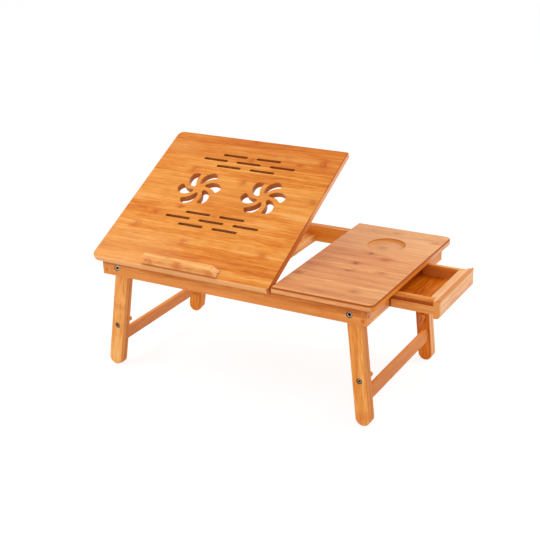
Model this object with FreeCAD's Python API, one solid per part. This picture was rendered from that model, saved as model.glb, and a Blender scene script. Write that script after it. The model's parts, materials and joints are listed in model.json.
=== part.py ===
"""Folding laptop table in laminated bamboo.

A fixed board with a cup recess and a drawer stands beside a tilting board with
vent slots, a stop bar and a wire stay that drops into a notched rack. Four legs
fold flat along the rails, and each leg is two strips that slide and clamp.

Millimetres. X runs along the table, Y to the back, Z up. The origin is on the
floor under the middle of the table top. The legs stand out, the tilting board
is up and the drawer is part open.
"""

import FreeCAD, Part

import math
import os

os.makedirs("parts", exist_ok=True)

# Boards and frame
table_length = 550.0
table_width = 340.0
board_t = 11.0
top_height = 233.0
end_overhang = 15.0
side_overhang = 10.0
rail_height = 31.0
rail_t = 13.0
end_rail_t = 14.45
seam_x = 89.75
seam_gap = 1.5
corner_r = 12.0
seam_corner_r = 3.0
top_round = 2.6
bottom_round = 1.4
rail_round = 1.0

# Corner joints of the frame
tenon_w = 6.0
tenon_h = 7.0
tenon_spread = 14.0
corner_pin_r = 1.9
corner_pin_length = 22.0

# Cup recess
cup_x = 185.0
cup_y = 84.0
cup_r = 34.0
cup_depth = 5.0
cup_floor_bevel = 1.2

# Vents in the tilting board: slots centred on vent_x, fans on fan_x
vent_x = -87.6
slot_length = 51.5
slot_w = 5.7
slot_pitch = 70.5
slot_row_gap = 15.0
back_slots_y = 106.0
front_slots_y = -47.0
fan_x = -86.6
fan_y = 28.7
fan_pitch = 134.5
fan_blades = 6
blade_tip_r = 4.0
blade_heel_r = 3.0

# How far cutting shapes run past the faces that they open
past = 1.0

# Stop bar on the tilting board
stop_length = 150.0
stop_x = -88.0
stop_end_slant = 11.0
stop_inset = 3.5
stop_w = 15.5
stop_lean = 3.5
stop_h = 14.0
stop_round = 1.6
stop_corner_r = 3.0
stop_screw_inset = 26.0
stop_screw_grip = 8.0
wood_screw_r = 1.75
wood_screw_head_r = 3.6

# Tilting board's hinges
tilt_angle = 26.65
hinge_out = 2.2
hinge_xs = (-200.0, 12.0)
hinge_length = 40.0
knuckle_r = 2.2
knuckle_count = 3
knuckle_gap = 0.3
barrel_room = 0.5
pin_r = 1.0
running_gap = 0.05
leaf_t = 0.9
leaf_seat = 1.0
leaf_reach = 13.2
leaf_screw_r = 1.2
leaf_screw_head_r = 2.3
leaf_screw_length = 8.0
leaf_screw_spread = 24.0

# Centre bar, rack and wire stay
bar_half_w = 10.0
bar_h = 14.5
dowel_r = 3.0
dowel_in_rail = 8.0
dowel_in_bar = 14.0
stay_pivot_run = 130.0
stay_pivot_drop = 2.6
stay_foot_drop = 8.0
wire_r = 2.0
stay_arm_x = 8.0
stay_end_x = 21.0
stay_bend_r = 4.0
rack_half_w = 8.0
rack_lead = 22.9
rack_length = 59.0
rack_hover = 0.3
notch_pitch = 8.0
notches_in_front = 2
notches_behind = 3
notch_depth = 3.2
notch_ramp = 5.0
notch_flat = 1.6
notch_wall = 2.3
rack_screw_spots = ((5.8, 28.0), (-5.8, 46.0))
rack_screw_r = 1.75
rack_screw_head_r = 3.6
rack_screw_head_h = 2.3
head_bevel = 0.6
rack_screw_grip = 1.6
clip_x = 17.0
clip_w = 7.0
clip_t = 1.0
clip_reach = 9.0
clip_screw_y = 6.2
clip_screw_r = 1.2
clip_screw_head_r = 2.3
clip_screw_head_h = 1.4
clip_screw_length = 7.0

# Legs
leg_inset = 31.0
leg_w = 26.7
leg_layer_t = 9.25
layer_gap = 0.25
washer_t = 1.4
washer_gap = 0.3
leg_bevel = 1.0
right_splay = 4.96
stop_gap = 0.3
leg_travel = 70.0
pivot_bolt_r = 3.0
pivot_head_r = 5.0
pivot_head_h = 2.6
pivot_bore_r = 5.4
pivot_bore_depth = 3.4
pivot_socket_r = 2.4
pivot_socket_depth = 1.8
pivot_nut_r = 5.0
pivot_nut_h = 4.2
washer_r = 8.0
nut_clear = 7.5
clamp_from_foot = 69.4
clamp_r = 2.5
clamp_head_r = 4.1
clamp_head_h = 2.6
clamp_recess_r = 5.0
clamp_recess_depth = 3.0
clamp_socket_r = 1.8
clamp_socket_depth = 1.2
leg_slot_w = 5.6
slot_tail = 3.5
peg_r = 2.5
peg_h = 3.2
peg_from_top = 11.5
groove_gap = 0.3
crossbar_from_foot = 38.3
crossbar_h = 24.0
crossbar_t = 8.0
crossbar_round = 1.5
crossbar_tenon_h = 16.0
crossbar_tenon_t = 5.0
crossbar_tenon_in = 6.0
knob_round_reach = 11.0
knob_tip_reach = 10.0
knob_round_r = 4.3
knob_tip_r = 1.6
knob_side_r = 34.0
knob_h = 12.5
knob_bevel = 0.7
knob_bore_depth = 9.0
left_front_knob_turn = 27.0
left_back_knob_turn = 40.0
right_front_knob_turn = 13.0
right_back_knob_turn = 82.0

# Drawer, its runners and the board ends beside it
drawer_out = 78.5
drawer_length = 150.0
drawer_half_w = 71.75
drawer_side_t = 8.0
drawer_wall_t = 10.0
drawer_bottom_t = 4.0
drawer_h = 27.0
drawer_top_down = 3.5
drawer_bottom_up = 3.5
bottom_let_in = 3.0
drawer_front_t = 12.0
drawer_front_half_w = 77.5
drawer_front_h = 33.8
drawer_front_down = 0.7
front_corner_r = 3.0
front_foot_r = 7.0
front_ledge = 3.5
lip_r = 2.0
stub_gap = 1.25
runner_gap = 2.75
runner_w = 12.0
runner_h = 16.0
groove_floor = 4.0
groove_h = 6.8
groove_down = 12.3
tongue_gap = 0.3
batten_w = 14.5
batten_h = 14.0
batten_half_l = 110.0
front_screw_y = 40.0
front_screw_down = 15.0
front_screw_grip = 7.8

# Places that follow from the sizes
frame_x = table_length / 2 - end_overhang
frame_y = table_width / 2 - side_overhang
frame_top = top_height - board_t
frame_low = frame_top - rail_height
frame_mid = frame_low + rail_height / 2
rail_in = frame_y - rail_t
end_in = frame_x - end_rail_t
stub_in = drawer_half_w + stub_gap

stop_front_y = -table_width / 2 + stop_inset
stop_back_y = stop_front_y + stop_w

hinge_y = -frame_y - hinge_out
hinge_z = frame_top
leaf_back_y = hinge_y + leaf_reach
stay_r = math.hypot(stay_pivot_run, stay_pivot_drop)
stay_slope = math.degrees(math.asin(stay_foot_drop / (2 * stay_r)))
stay_dip = math.degrees(math.atan2(stay_pivot_drop, stay_pivot_run))

pivot_x = frame_x - leg_inset
pivot_z = frame_mid
leg_r = leg_w / 2
upper_out = rail_in - washer_t - washer_gap
upper_in = upper_out - leg_layer_t
lower_out = upper_in - layer_gap
lower_in = lower_out - leg_layer_t
foot_drop = pivot_z - leg_r
leg_length = foot_drop / math.cos(math.radians(right_splay))
clamp_down = leg_length - clamp_from_foot
crossbar_down = leg_length - crossbar_from_foot
lower_top_down = pivot_nut_r + nut_clear
peg_down = lower_top_down + peg_from_top

# The left legs lean out until their outer edge meets the end rail's lower inner edge.
corner_out = leg_inset - end_rail_t
corner_down = pivot_z - frame_low
corner_far = math.hypot(corner_out, corner_down)
left_splay = math.degrees(
    math.acos((leg_r + stop_gap) / corner_far) - math.atan2(corner_down, corner_out)
)
left_extension = foot_drop / math.cos(math.radians(left_splay)) - leg_length

drawer_front_x = frame_x + drawer_out
drawer_back_x = drawer_front_x - drawer_length
drawer_in_y = drawer_half_w - drawer_side_t
drawer_top_z = frame_top - drawer_top_down
drawer_low_z = drawer_top_z - drawer_h
drawer_front_high = frame_top - drawer_front_down
drawer_front_low = drawer_front_high - drawer_front_h
groove_z = frame_top - groove_down
front_screw_z = frame_top - front_screw_down

NEAR = 1e-4
LEFT = -1
RIGHT = 1
AXIS_X = FreeCAD.Vector(1, 0, 0)
AXIS_Y = FreeCAD.Vector(0, 1, 0)
AXIS_Z = FreeCAD.Vector(0, 0, 1)
ORIGIN = FreeCAD.Vector(0, 0, 0)


def vec(x, y, z):
    return FreeCAD.Vector(x, y, z)


def block(x0, x1, y0, y1, z0, z1):
    """A box between two corners, given in any order."""
    low = vec(min(x0, x1), min(y0, y1), min(z0, z1))
    return Part.makeBox(abs(x1 - x0), abs(y1 - y0), abs(z1 - z0), low)


def rod(start, direction, radius, length):
    return Part.makeCylinder(radius, length, start, direction)


def polygon(points):
    return Part.makePolygon(points + [points[0]])


def sweep(wire, direction):
    return Part.Face(wire).extrude(direction)


def mirrored_y(shape):
    return shape.mirror(ORIGIN, AXIS_Y)


def mirrored_x(shape):
    return shape.mirror(ORIGIN, AXIS_X)


def both_sides(shape):
    """The shape and its mirror image across the table's middle line."""
    return [shape, mirrored_y(shape)]


def round_edges(shape, radius, wanted):
    """Round the edges that the test picks."""
    edges = [edge for edge in shape.Edges if wanted(edge.BoundBox)]
    return shape.makeFillet(radius, edges)


def bevel_edges(shape, size, wanted):
    """Cut a flat bevel along the edges that the test picks."""
    edges = [edge for edge in shape.Edges if wanted(edge.BoundBox)]
    return shape.makeChamfer(size, edges)


def at_z(z):
    return lambda box: abs(box.ZMin - z) < NEAR and abs(box.ZMax - z) < NEAR


def at_y(y):
    return lambda box: abs(box.YMin - y) < NEAR and abs(box.YMax - y) < NEAR


def at_x(x):
    return lambda box: abs(box.XMin - x) < NEAR and abs(box.XMax - x) < NEAR


def upright_at(x):
    """Picks the upright edges at one end of a board."""
    return lambda box: at_x(x)(box) and box.YLength < NEAR


def hexagon_bar(x, y, z, radius, length):
    """A six-sided bar along Y, with a corner towards +X."""
    corners = []
    for corner in range(6):
        angle = math.radians(60 * corner)
        corners.append(vec(x + radius * math.cos(angle), y, z + radius * math.sin(angle)))
    return sweep(polygon(corners), vec(0, length, 0))


def save(name, solids):
    """Write one sub-part, which may be a group of separate solids."""
    group = solids if isinstance(solids, list) else [solids]
    found = []
    for shape in group:
        found.extend(shape.Solids)
    result = found[0] if len(found) == 1 else Part.makeCompound(found)
    result.exportStep("parts/" + name + ".step")


def countersunk_screw(head_face, direction, shank_r, head_r, length):
    """A wood screw whose flat head lies flush with the face it enters."""
    cone_h = head_r - shank_r
    head = Part.makeCone(head_r, shank_r, cone_h, head_face, direction)
    shank = rod(head_face, direction, shank_r, length)
    return head.fuse(shank).removeSplitter()


def round_head_screw(head_face, direction, shank_r, head_r, head_h, length):
    """A screw whose bevelled round head stands on the face it enters."""
    top = head_face - direction * head_h
    cap = Part.makeCone(head_r - head_bevel, head_r, head_bevel, top, direction)
    body = rod(top + direction * head_bevel, direction, head_r, head_h - head_bevel)
    shank = rod(head_face, direction, shank_r, length)
    return cap.fuse([body, shank]).removeSplitter()


# Boards


def board_outline(x0, x1, left_r, right_r):
    """A board's plan with its own corner radius at each end."""
    y1 = table_width / 2
    plan = block(x0, x1, -y1, y1, frame_top, top_height)
    ends = ((x0, left_r), (x1, right_r))
    for x, radius in ends:
        plan = round_edges(plan, radius, upright_at(x))
    plan = round_edges(plan, top_round, at_z(top_height))
    return round_edges(plan, bottom_round, at_z(frame_top))


def make_fixed_top():
    top = board_outline(seam_x + seam_gap / 2, table_length / 2, seam_corner_r, corner_r)
    recess = rod(vec(cup_x, cup_y, top_height - cup_depth), AXIS_Z, cup_r, cup_depth + past)
    recess = bevel_edges(recess, cup_floor_bevel, at_z(top_height - cup_depth))
    return top.cut(recess)


def vent_slot(x, y):
    end = slot_w / 2
    reach = slot_length / 2 - end
    z = frame_top - past
    straight = block(x - reach, x + reach, y - end, y + end, z, top_height + past)
    caps = [rod(vec(x + s * reach, y, z), AXIS_Z, end, board_t + 2 * past) for s in (-1, 1)]
    return straight.fuse(caps).removeSplitter()


def slot_group(y):
    """Seven slots in rows of two, three and two."""
    slots = []
    for row in (-1, 0, 1):
        offsets = (-1, 0, 1) if row == 0 else (-0.5, 0.5)
        for offset in offsets:
            slots.append(vent_slot(vent_x + offset * slot_pitch, y + row * slot_row_gap))
    return slots


def fan_blade():
    """One comma-shaped opening above the hub, from four arcs and two rounded corners."""
    hub, tip, heel, neck = (-5.2, 15.2), (12.4, 41.4), (23.6, 28.4), (2.1, 13.5)
    arcs = (
        (hub, (-1.4, 33.7), tip),
        (tip, (20.6, 37.2), heel),
        (heel, (10.9, 23.4), neck),
        (neck, (-1.7, 11.3), hub),
    )
    z = frame_top - past
    edges = []
    for arc in arcs:
        points = [vec(u, v, z) for u, v in arc]
        edges.append(Part.Arc(points[0], points[1], points[2]).toShape())
    blade = sweep(Part.Wire(edges), vec(0, 0, board_t + 2 * past))
    for corner, radius in ((tip, blade_tip_r), (heel, blade_heel_r)):
        blade = round_edges(blade, radius, upright_at(corner[0]))
    return blade


def fan_openings(x):
    blades = []
    for turn in range(fan_blades):
        blade = fan_blade()
        blade.rotate(ORIGIN, AXIS_Z, turn * 360.0 / fan_blades)
        blade.translate(vec(x, fan_y, 0))
        blades.append(blade)
    return blades


def tilted(shape):
    """Swing a piece of the tilting board up about its hinge pins."""
    turned = shape.copy()
    turned.rotate(vec(0, hinge_y, hinge_z), AXIS_X, tilt_angle)
    return turned


def make_tilt_top():
    top = board_outline(-table_length / 2, seam_x - seam_gap / 2, corner_r, seam_corner_r)
    cuts = slot_group(back_slots_y) + slot_group(front_slots_y)
    cuts += fan_openings(fan_x - fan_pitch / 2) + fan_openings(fan_x + fan_pitch / 2)
    for x in hinge_xs:
        cuts.append(hinge_barrel_space(x))
        cuts.append(leaf_blank(x, leaf_seat, 1, knuckle_gap))
        cuts += leaf_screws(x, 1)
    cuts += clip_screws()
    cuts += stop_screws()
    return tilted(top.cut(cuts))


def make_stop_bar():
    """A leaning bar with one rounded end and one end cut on a slant."""
    x0 = stop_x - stop_length / 2
    x1 = x0 + stop_length
    z0 = top_height
    z1 = top_height + stop_h
    side = polygon(
        [
            vec(x0, stop_front_y, z0),
            vec(x0, stop_front_y + stop_lean, z1),
            vec(x0, stop_back_y, z1),
            vec(x0, stop_back_y, z0),
        ]
    )
    bar = sweep(side, vec(stop_length, 0, 0))
    offcut = polygon(
        [
            vec(x1, stop_front_y - past, z0),
            vec(x1 - stop_end_slant, stop_front_y - past, z1),
            vec(x1, stop_front_y - past, z1),
        ]
    )
    bar = bar.cut(sweep(offcut, vec(0, stop_w + 2 * past, 0)))
    left = at_x(x0)
    bar = round_edges(bar, stop_corner_r, lambda box: left(box) and box.ZLength > stop_h / 2)
    bar = round_edges(bar, stop_round, at_z(z1))
    return tilted(bar.cut(stop_screws()))


def stop_screws():
    """Two screws up through the board into the stop bar."""
    middle = (stop_front_y + stop_lean + stop_back_y) / 2
    reach = stop_length / 2 - stop_screw_inset
    length = board_t + stop_screw_grip
    starts = [vec(stop_x + s * reach, middle, frame_top) for s in (-1, 1)]
    return [
        countersunk_screw(start, AXIS_Z, wood_screw_r, wood_screw_head_r, length) for start in starts
    ]


# Hinges


def knuckle_span(x, index, gap):
    width = hinge_length / knuckle_count
    start = x - hinge_length / 2 + index * width
    return start + gap / 2, start + width - gap / 2


def hinge_barrel_space(x):
    """The room in the board's underside for the hinge barrel."""
    start = vec(x - hinge_length / 2 - barrel_room, hinge_y, hinge_z)
    return rod(start, AXIS_X, knuckle_r + barrel_room, hinge_length + 2 * barrel_room)


def leaf_blank(x, thickness, side, spread):
    """A leaf's plate, above the hinge line for the board and below it for the rail."""
    z0 = hinge_z
    z1 = hinge_z + side * thickness
    half = hinge_length / 2 + spread
    return block(x - half, x + half, hinge_y, leaf_back_y + spread, z0, z1)


def make_leaf(x, side):
    """One leaf with its own knuckles; the two leaves' knuckles alternate."""
    own = 1 if side > 0 else 0
    seat = hinge_z + side * (leaf_seat - leaf_t)
    far = hinge_z + side * leaf_seat
    half = hinge_length / 2
    plate = block(x - half, x + half, hinge_y, leaf_back_y, seat, far)
    low_end = vec(x - half - past, hinge_y, hinge_z)
    leaf = plate.cut(rod(low_end, AXIS_X, knuckle_r + knuckle_gap, hinge_length + 2 * past))
    bore_r = pin_r + running_gap if side > 0 else pin_r
    for index in range(own, knuckle_count, 2):
        x0, x1 = knuckle_span(x, index, knuckle_gap)
        barrel = rod(vec(x0, hinge_y, hinge_z), AXIS_X, knuckle_r, x1 - x0)
        link = block(x0, x1, hinge_y, hinge_y + knuckle_r + past, seat, far)
        leaf = leaf.fuse(barrel.fuse(link))
    bore = rod(low_end, AXIS_X, bore_r, hinge_length + 2 * past)
    return leaf.cut([bore] + leaf_screws(x, side)).removeSplitter()


def leaf_screws(x, side):
    """Countersunk screws, driven from the faces where the leaves meet."""
    y = (leaf_back_y + hinge_y + knuckle_r) / 2
    z = hinge_z + side * (leaf_seat - leaf_t)
    way = vec(0, 0, side)
    spots = [vec(x + s * leaf_screw_spread / 2, y, z) for s in (-1, 1)]
    return [
        countersunk_screw(spot, way, leaf_screw_r, leaf_screw_head_r, leaf_screw_length)
        for spot in spots
    ]


def make_hinge_pin(x):
    start = vec(x - hinge_length / 2, hinge_y, hinge_z)
    return rod(start, AXIS_X, pin_r, hinge_length)


# Frame


def tenon_heights():
    return [frame_mid + s * tenon_spread / 2 for s in (-1, 1)]


def tenon(x, y0, y1, z):
    return block(x - tenon_w / 2, x + tenon_w / 2, y0, y1, z - tenon_h / 2, z + tenon_h / 2)


def end_middle(side):
    return side * (frame_x - end_rail_t / 2)


def corner_pin(side, depth):
    """A short pin driven into the rail's end between the tenons."""
    start = vec(side * frame_x, -frame_y + rail_t / 2, frame_mid)
    return rod(start, vec(-side, 0, 0), corner_pin_r, depth)


def pivot_hole(side):
    """The pivot bolt's way through the front rail, with room for its head."""
    start = vec(side * pivot_x, -frame_y, pivot_z)
    bore = rod(start, AXIS_Y, pivot_bore_r, pivot_bore_depth)
    return bore.fuse(rod(start, AXIS_Y, pivot_bolt_r, rail_t))


def make_front_rail():
    rail = block(-frame_x, frame_x, -frame_y, -rail_in, frame_low, frame_top)
    rail = round_edges(rail, rail_round, lambda box: at_z(frame_low)(box) and at_y(-frame_y)(box))
    cuts = []
    for side in (LEFT, RIGHT):
        cuts += [tenon(end_middle(side), -frame_y, -rail_in, z) for z in tenon_heights()]
        cuts.append(corner_pin(side, corner_pin_length))
        cuts.append(pivot_hole(side))
    cuts.append(bar_dowel())
    return rail.cut(cuts)


def make_hinged_rail():
    """The front rail also carries the hinge leaves."""
    rail = make_front_rail()
    for x in hinge_xs:
        rail = rail.cut([leaf_blank(x, leaf_seat, -1, knuckle_gap)] + leaf_screws(x, -1))
    return rail


def make_left_end_rail():
    rail = block(-frame_x, -end_in, -rail_in, rail_in, frame_low, frame_top)
    tenons = []
    for z in tenon_heights():
        tenons += both_sides(tenon(end_middle(LEFT), -frame_y, -rail_in, z))
    return rail.fuse(tenons)


def make_right_stub():
    """The short end piece between the front rail and the drawer."""
    stub = block(end_in, frame_x, -rail_in, -stub_in, frame_low, frame_top)
    return stub.fuse([tenon(end_middle(RIGHT), -frame_y, -rail_in, z) for z in tenon_heights()])


def bar_dowel():
    """A dowel from the front rail into the end of the centre bar."""
    start = vec(0, -rail_in - dowel_in_rail, frame_low + bar_h / 2)
    return rod(start, AXIS_Y, dowel_r, dowel_in_rail + dowel_in_bar)


def make_centre_bar():
    bar = block(-bar_half_w, bar_half_w, -rail_in, rail_in, frame_low, frame_low + bar_h)
    top = at_z(frame_low + bar_h)
    bar = round_edges(bar, rail_round, lambda box: top(box) and box.YLength > rail_in)
    return bar.cut(both_sides(bar_dowel()) + rack_screws())


def make_batten():
    x0 = seam_x + seam_gap / 2
    return block(x0, x0 + batten_w, -batten_half_l, batten_half_l, frame_top - batten_h, frame_top)


def make_runner():
    """A runner under the fixed board, with the tongue that carries the drawer."""
    x0 = seam_x + seam_gap / 2 + batten_w
    y_in = drawer_half_w + runner_gap
    body = block(x0, end_in, -y_in - runner_w, -y_in, frame_top - runner_h, frame_top)
    tip = drawer_half_w - groove_floor + tongue_gap
    half = groove_h / 2 - tongue_gap
    tongue = block(x0, end_in, -y_in - past, -tip, groove_z - half, groove_z + half)
    return body.fuse(tongue).removeSplitter()


# Rack and wire stay


def on_slope(t, n):
    """A point t along the stay foot's path from the hinge line, and n above it."""
    slope = math.radians(stay_slope)
    y = hinge_y + t * math.cos(slope) + n * math.sin(slope)
    z = hinge_z - t * math.sin(slope) + n * math.cos(slope)
    return y, z


def foot_distance(angle):
    """How far the stay's foot lies from the hinge line at a tilt."""
    lean = math.radians(angle - stay_dip + stay_slope)
    return 2 * stay_r * math.cos(lean)


def rack_front_y():
    return on_slope(foot_distance(tilt_angle), 0)[0] - rack_lead


def make_rack():
    """A block whose saw teeth follow the path of the stay's foot."""
    crest = -wire_r - rack_hover
    rest = foot_distance(tilt_angle)
    front_y = rack_front_y()
    back_y = front_y + rack_length
    bar_top = frame_low + bar_h
    outline = []
    for step in range(-notches_in_front, notches_behind + 1):
        t = rest + step * notch_pitch
        outline.append(on_slope(t - notch_ramp, crest))
        outline.append(on_slope(t - notch_flat, crest - notch_depth))
        outline.append(on_slope(t + notch_flat, crest - notch_depth))
        outline.append(on_slope(t + notch_wall, crest))
    slope = math.tan(math.radians(stay_slope))
    top_y, top_z = on_slope(rest, crest)
    front = (front_y, top_z + (top_y - front_y) * slope)
    back = (back_y, top_z + (top_y - back_y) * slope)
    outline = [(front_y, bar_top), front] + outline + [back, (back_y, bar_top)]
    side = polygon([vec(-rack_half_w, y, z) for y, z in outline])
    return sweep(side, vec(2 * rack_half_w, 0, 0)).cut(rack_screws())


def rack_screws():
    """Round-head screws up through the centre bar into the rack."""
    length = bar_h + rack_screw_grip
    faces = [vec(x, rack_front_y() + run, frame_low) for x, run in rack_screw_spots]
    return [
        round_head_screw(
            face, AXIS_Z, rack_screw_r, rack_screw_head_r, rack_screw_head_h, length
        )
        for face in faces
    ]


def stay_pivot_y():
    return hinge_y + stay_pivot_run


def stay_pivot_z():
    return hinge_z - stay_pivot_drop


def stay_path():
    """Half of the wire's bend line, in X and distance from its hinge ends."""
    bend = stay_bend_r
    quarter = bend * (1 - math.sqrt(0.5))
    arm = stay_arm_x
    top = 0.0
    foot = stay_r
    edges = [
        Part.LineSegment(vec(stay_end_x, top, 0), vec(arm + bend, top, 0)).toShape(),
        Part.Arc(
            vec(arm + bend, top, 0), vec(arm + quarter, top + quarter, 0), vec(arm, top + bend, 0)
        ).toShape(),
        Part.LineSegment(vec(arm, top + bend, 0), vec(arm, foot - bend, 0)).toShape(),
        Part.Arc(
            vec(arm, foot - bend, 0), vec(arm - quarter, foot - quarter, 0), vec(arm - bend, foot, 0)
        ).toShape(),
        Part.LineSegment(vec(arm - bend, foot, 0), vec(0, foot, 0)).toShape(),
    ]
    return edges


def make_stay():
    """A U of wire whose turned-out ends sit in the clips under the board."""
    edges = stay_path()
    back = [edge.mirror(ORIGIN, AXIS_X) for edge in reversed(edges)]
    wire = Part.Wire(Part.__sortEdges__(edges + back))
    start = Part.Wire([Part.makeCircle(wire_r, vec(stay_end_x, 0, 0), AXIS_X)])
    stay = wire.makePipeShell([start], True, False)
    # The arm's own direction is +Y here; turn it down towards the rack.
    lean = tilt_angle - stay_dip + stay_slope
    stay.rotate(ORIGIN, AXIS_X, -stay_slope - lean)
    place = tilted(Part.Vertex(0, stay_pivot_y(), stay_pivot_z())).Point
    stay.translate(place)
    return stay


def make_clip(side):
    """A saddle that holds one end of the wire under the board."""
    x0 = side * clip_x - clip_w / 2
    y = stay_pivot_y()
    z = stay_pivot_z()
    inner = wire_r + running_gap
    outer = inner + clip_t
    shell = rod(vec(x0, y, z), AXIS_X, outer, clip_w)
    shell = shell.common(block(x0, x0 + clip_w, y - outer, y + outer, z - outer, z))
    shell = shell.fuse(block(x0, x0 + clip_w, y - outer, y + outer, z, frame_top))
    flange = block(x0, x0 + clip_w, y - clip_reach, y + clip_reach, frame_top - clip_t, frame_top)
    space = rod(vec(x0, y, z), AXIS_X, inner, clip_w)
    space = space.fuse(block(x0, x0 + clip_w, y - inner, y + inner, z, frame_top))
    clip = shell.fuse(flange).cut(space)
    return clip.removeSplitter().cut(clip_screws())


def clip_screws():
    screws = []
    for x in (-clip_x, clip_x):
        for way in (-1, 1):
            face = vec(x, stay_pivot_y() + way * clip_screw_y, frame_top - clip_t)
            screws.append(
                round_head_screw(
                    face,
                    AXIS_Z,
                    clip_screw_r,
                    clip_screw_head_r,
                    clip_screw_head_h,
                    clip_screw_length,
                )
            )
    return screws


# Legs, built hanging straight down from the pivot at the origin, outer side at +X


def strap(top_down, foot_down, y0, y1, round_top):
    """A leg strip with a round foot and a round or square top."""
    r = leg_r
    foot = Part.Arc(vec(r, y0, -foot_down), vec(0, y0, -foot_down - r), vec(-r, y0, -foot_down))
    left = Part.LineSegment(vec(-r, y0, -foot_down), vec(-r, y0, -top_down))
    right = Part.LineSegment(vec(r, y0, -top_down), vec(r, y0, -foot_down))
    if round_top:
        top = Part.Arc(vec(-r, y0, -top_down), vec(0, y0, -top_down + r), vec(r, y0, -top_down))
    else:
        top = Part.LineSegment(vec(-r, y0, -top_down), vec(r, y0, -top_down))
    wire = Part.Wire([piece.toShape() for piece in (foot, left, top, right)])
    return sweep(wire, vec(0, y1 - y0, 0))


def long_hole(top_down, low_down, half_w, y0, y1):
    """A slot along the leg between two hole centres."""
    y = min(y0, y1)
    t = abs(y1 - y0)
    caps = [rod(vec(0, y, -down), AXIS_Y, half_w, t) for down in (top_down, low_down)]
    middle = block(-half_w, half_w, y, y + t, -top_down, -low_down)
    return middle.fuse(caps).removeSplitter()


def make_upper_leg():
    """The outer strip, which hangs on the pivot bolt and carries the clamp screw."""
    leg = strap(0, leg_length, -upper_out, -upper_in, True)
    leg = bevel_edges(leg, leg_bevel, at_y(-upper_out))
    pivot = rod(vec(0, -upper_out, 0), AXIS_Y, pivot_bolt_r + running_gap, leg_layer_t)
    shank = rod(vec(0, -upper_out, -clamp_down), AXIS_Y, clamp_r, leg_layer_t)
    recess = rod(vec(0, -upper_out, -clamp_down), AXIS_Y, clamp_recess_r, clamp_recess_depth)
    half = peg_r + groove_gap
    depth = peg_h - layer_gap + groove_gap
    groove = long_hole(peg_down, peg_down + leg_travel, half, -upper_in - depth, -upper_in)
    return leg.cut([pivot, shank, recess, groove])


def make_lower_leg():
    """The inner strip, slotted for the clamp screw, with a peg that runs in the groove."""
    leg = strap(lower_top_down, leg_length, -lower_out, -lower_in, False)
    leg = bevel_edges(leg, leg_bevel, at_y(-lower_in))
    half = leg_slot_w / 2
    top = clamp_down - leg_travel - (half - clamp_r)
    low = clamp_down + slot_tail - half
    slot = long_hole(top, low, half, -lower_out, -lower_in)
    mortise = crossbar_blank(crossbar_tenon_h, crossbar_tenon_t, lower_in + crossbar_tenon_in)
    peg = rod(vec(0, -lower_out - peg_h + layer_gap, -peg_down), AXIS_Y, peg_r, peg_h)
    return leg.cut([slot, mortise]).fuse(peg)


def crossbar_blank(height, thickness, half_length):
    """A bar across the table, its middle just outside the leg's middle line."""
    x = crossbar_t / 2
    return block(
        x - thickness / 2,
        x + thickness / 2,
        -half_length,
        half_length,
        -crossbar_down - height / 2,
        -crossbar_down + height / 2,
    )


def make_crossbar():
    bar = crossbar_blank(crossbar_h, crossbar_t, lower_in)
    bar = round_edges(bar, crossbar_round, lambda box: box.YLength > lower_in)
    half = lower_in + crossbar_tenon_in
    return bar.fuse(crossbar_blank(crossbar_tenon_h, crossbar_tenon_t, half)).removeSplitter()


def make_clamp_screw():
    """The clamp screw's head lies in the outer strip and its end in the knob."""
    seat = vec(0, -upper_out + clamp_recess_depth, -clamp_down)
    top_y = -upper_out + clamp_recess_depth - clamp_head_h
    head = rod(seat, -AXIS_Y, clamp_head_r, clamp_head_h)
    head = bevel_edges(head, head_bevel, at_y(top_y))
    socket = hexagon_bar(0, top_y, -clamp_down, clamp_socket_r, clamp_socket_depth)
    end = lower_in - layer_gap - knob_bore_depth
    shank = rod(seat, AXIS_Y, clamp_r, upper_out - clamp_recess_depth - end)
    return head.fuse(shank).cut(socket).removeSplitter()


def knob_outline(y):
    """A round end and a tip, joined by two arcs that meet both without a corner."""
    bulb = knob_round_reach - knob_round_r
    tip = -knob_tip_reach + knob_tip_r
    to_bulb = knob_side_r - knob_round_r
    to_tip = knob_side_r - knob_tip_r
    centre_x = (to_tip**2 - to_bulb**2 + bulb**2 - tip**2) / (2 * (bulb - tip))
    centre_off = math.sqrt(to_bulb**2 - (centre_x - bulb) ** 2)
    touch = []
    for x, radius, reach in ((bulb, knob_round_r, to_bulb), (tip, knob_tip_r, to_tip)):
        touch.append((x + (x - centre_x) / reach * radius, centre_off / reach * radius))
    (bulb_x, bulb_z), (tip_x, tip_z) = touch
    side_z = knob_side_r - centre_off
    arcs = (
        ((bulb_x, bulb_z), (knob_round_reach, 0), (bulb_x, -bulb_z)),
        ((bulb_x, -bulb_z), (centre_x, -side_z), (tip_x, -tip_z)),
        ((tip_x, -tip_z), (-knob_tip_reach, 0), (tip_x, tip_z)),
        ((tip_x, tip_z), (centre_x, side_z), (bulb_x, bulb_z)),
    )
    edges = []
    for arc in arcs:
        points = [vec(x, y, z) for x, z in arc]
        edges.append(Part.Arc(points[0], points[1], points[2]).toShape())
    return Part.Wire(edges)


def make_knob(side, turn):
    """A teardrop knob, bored for the clamp screw, its round end up from +X by the turn."""
    y0 = -lower_in + layer_gap
    knob = sweep(knob_outline(y0), vec(0, knob_h, 0))
    knob = bevel_edges(knob, knob_bevel, at_y(y0 + knob_h))
    bore = rod(vec(0, y0, 0), AXIS_Y, clamp_r + running_gap, knob_bore_depth + past)
    knob = knob.cut(bore)
    knob.rotate(ORIGIN, AXIS_Y, -turn)
    knob.translate(clamp_place(side))
    return knob


def clamp_place(side):
    """The clamp screw's middle line, seen from the side."""
    lean = math.radians(left_splay if side == LEFT else right_splay)
    x = side * (pivot_x + clamp_down * math.sin(lean))
    return vec(x, 0, pivot_z - clamp_down * math.cos(lean))


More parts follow.
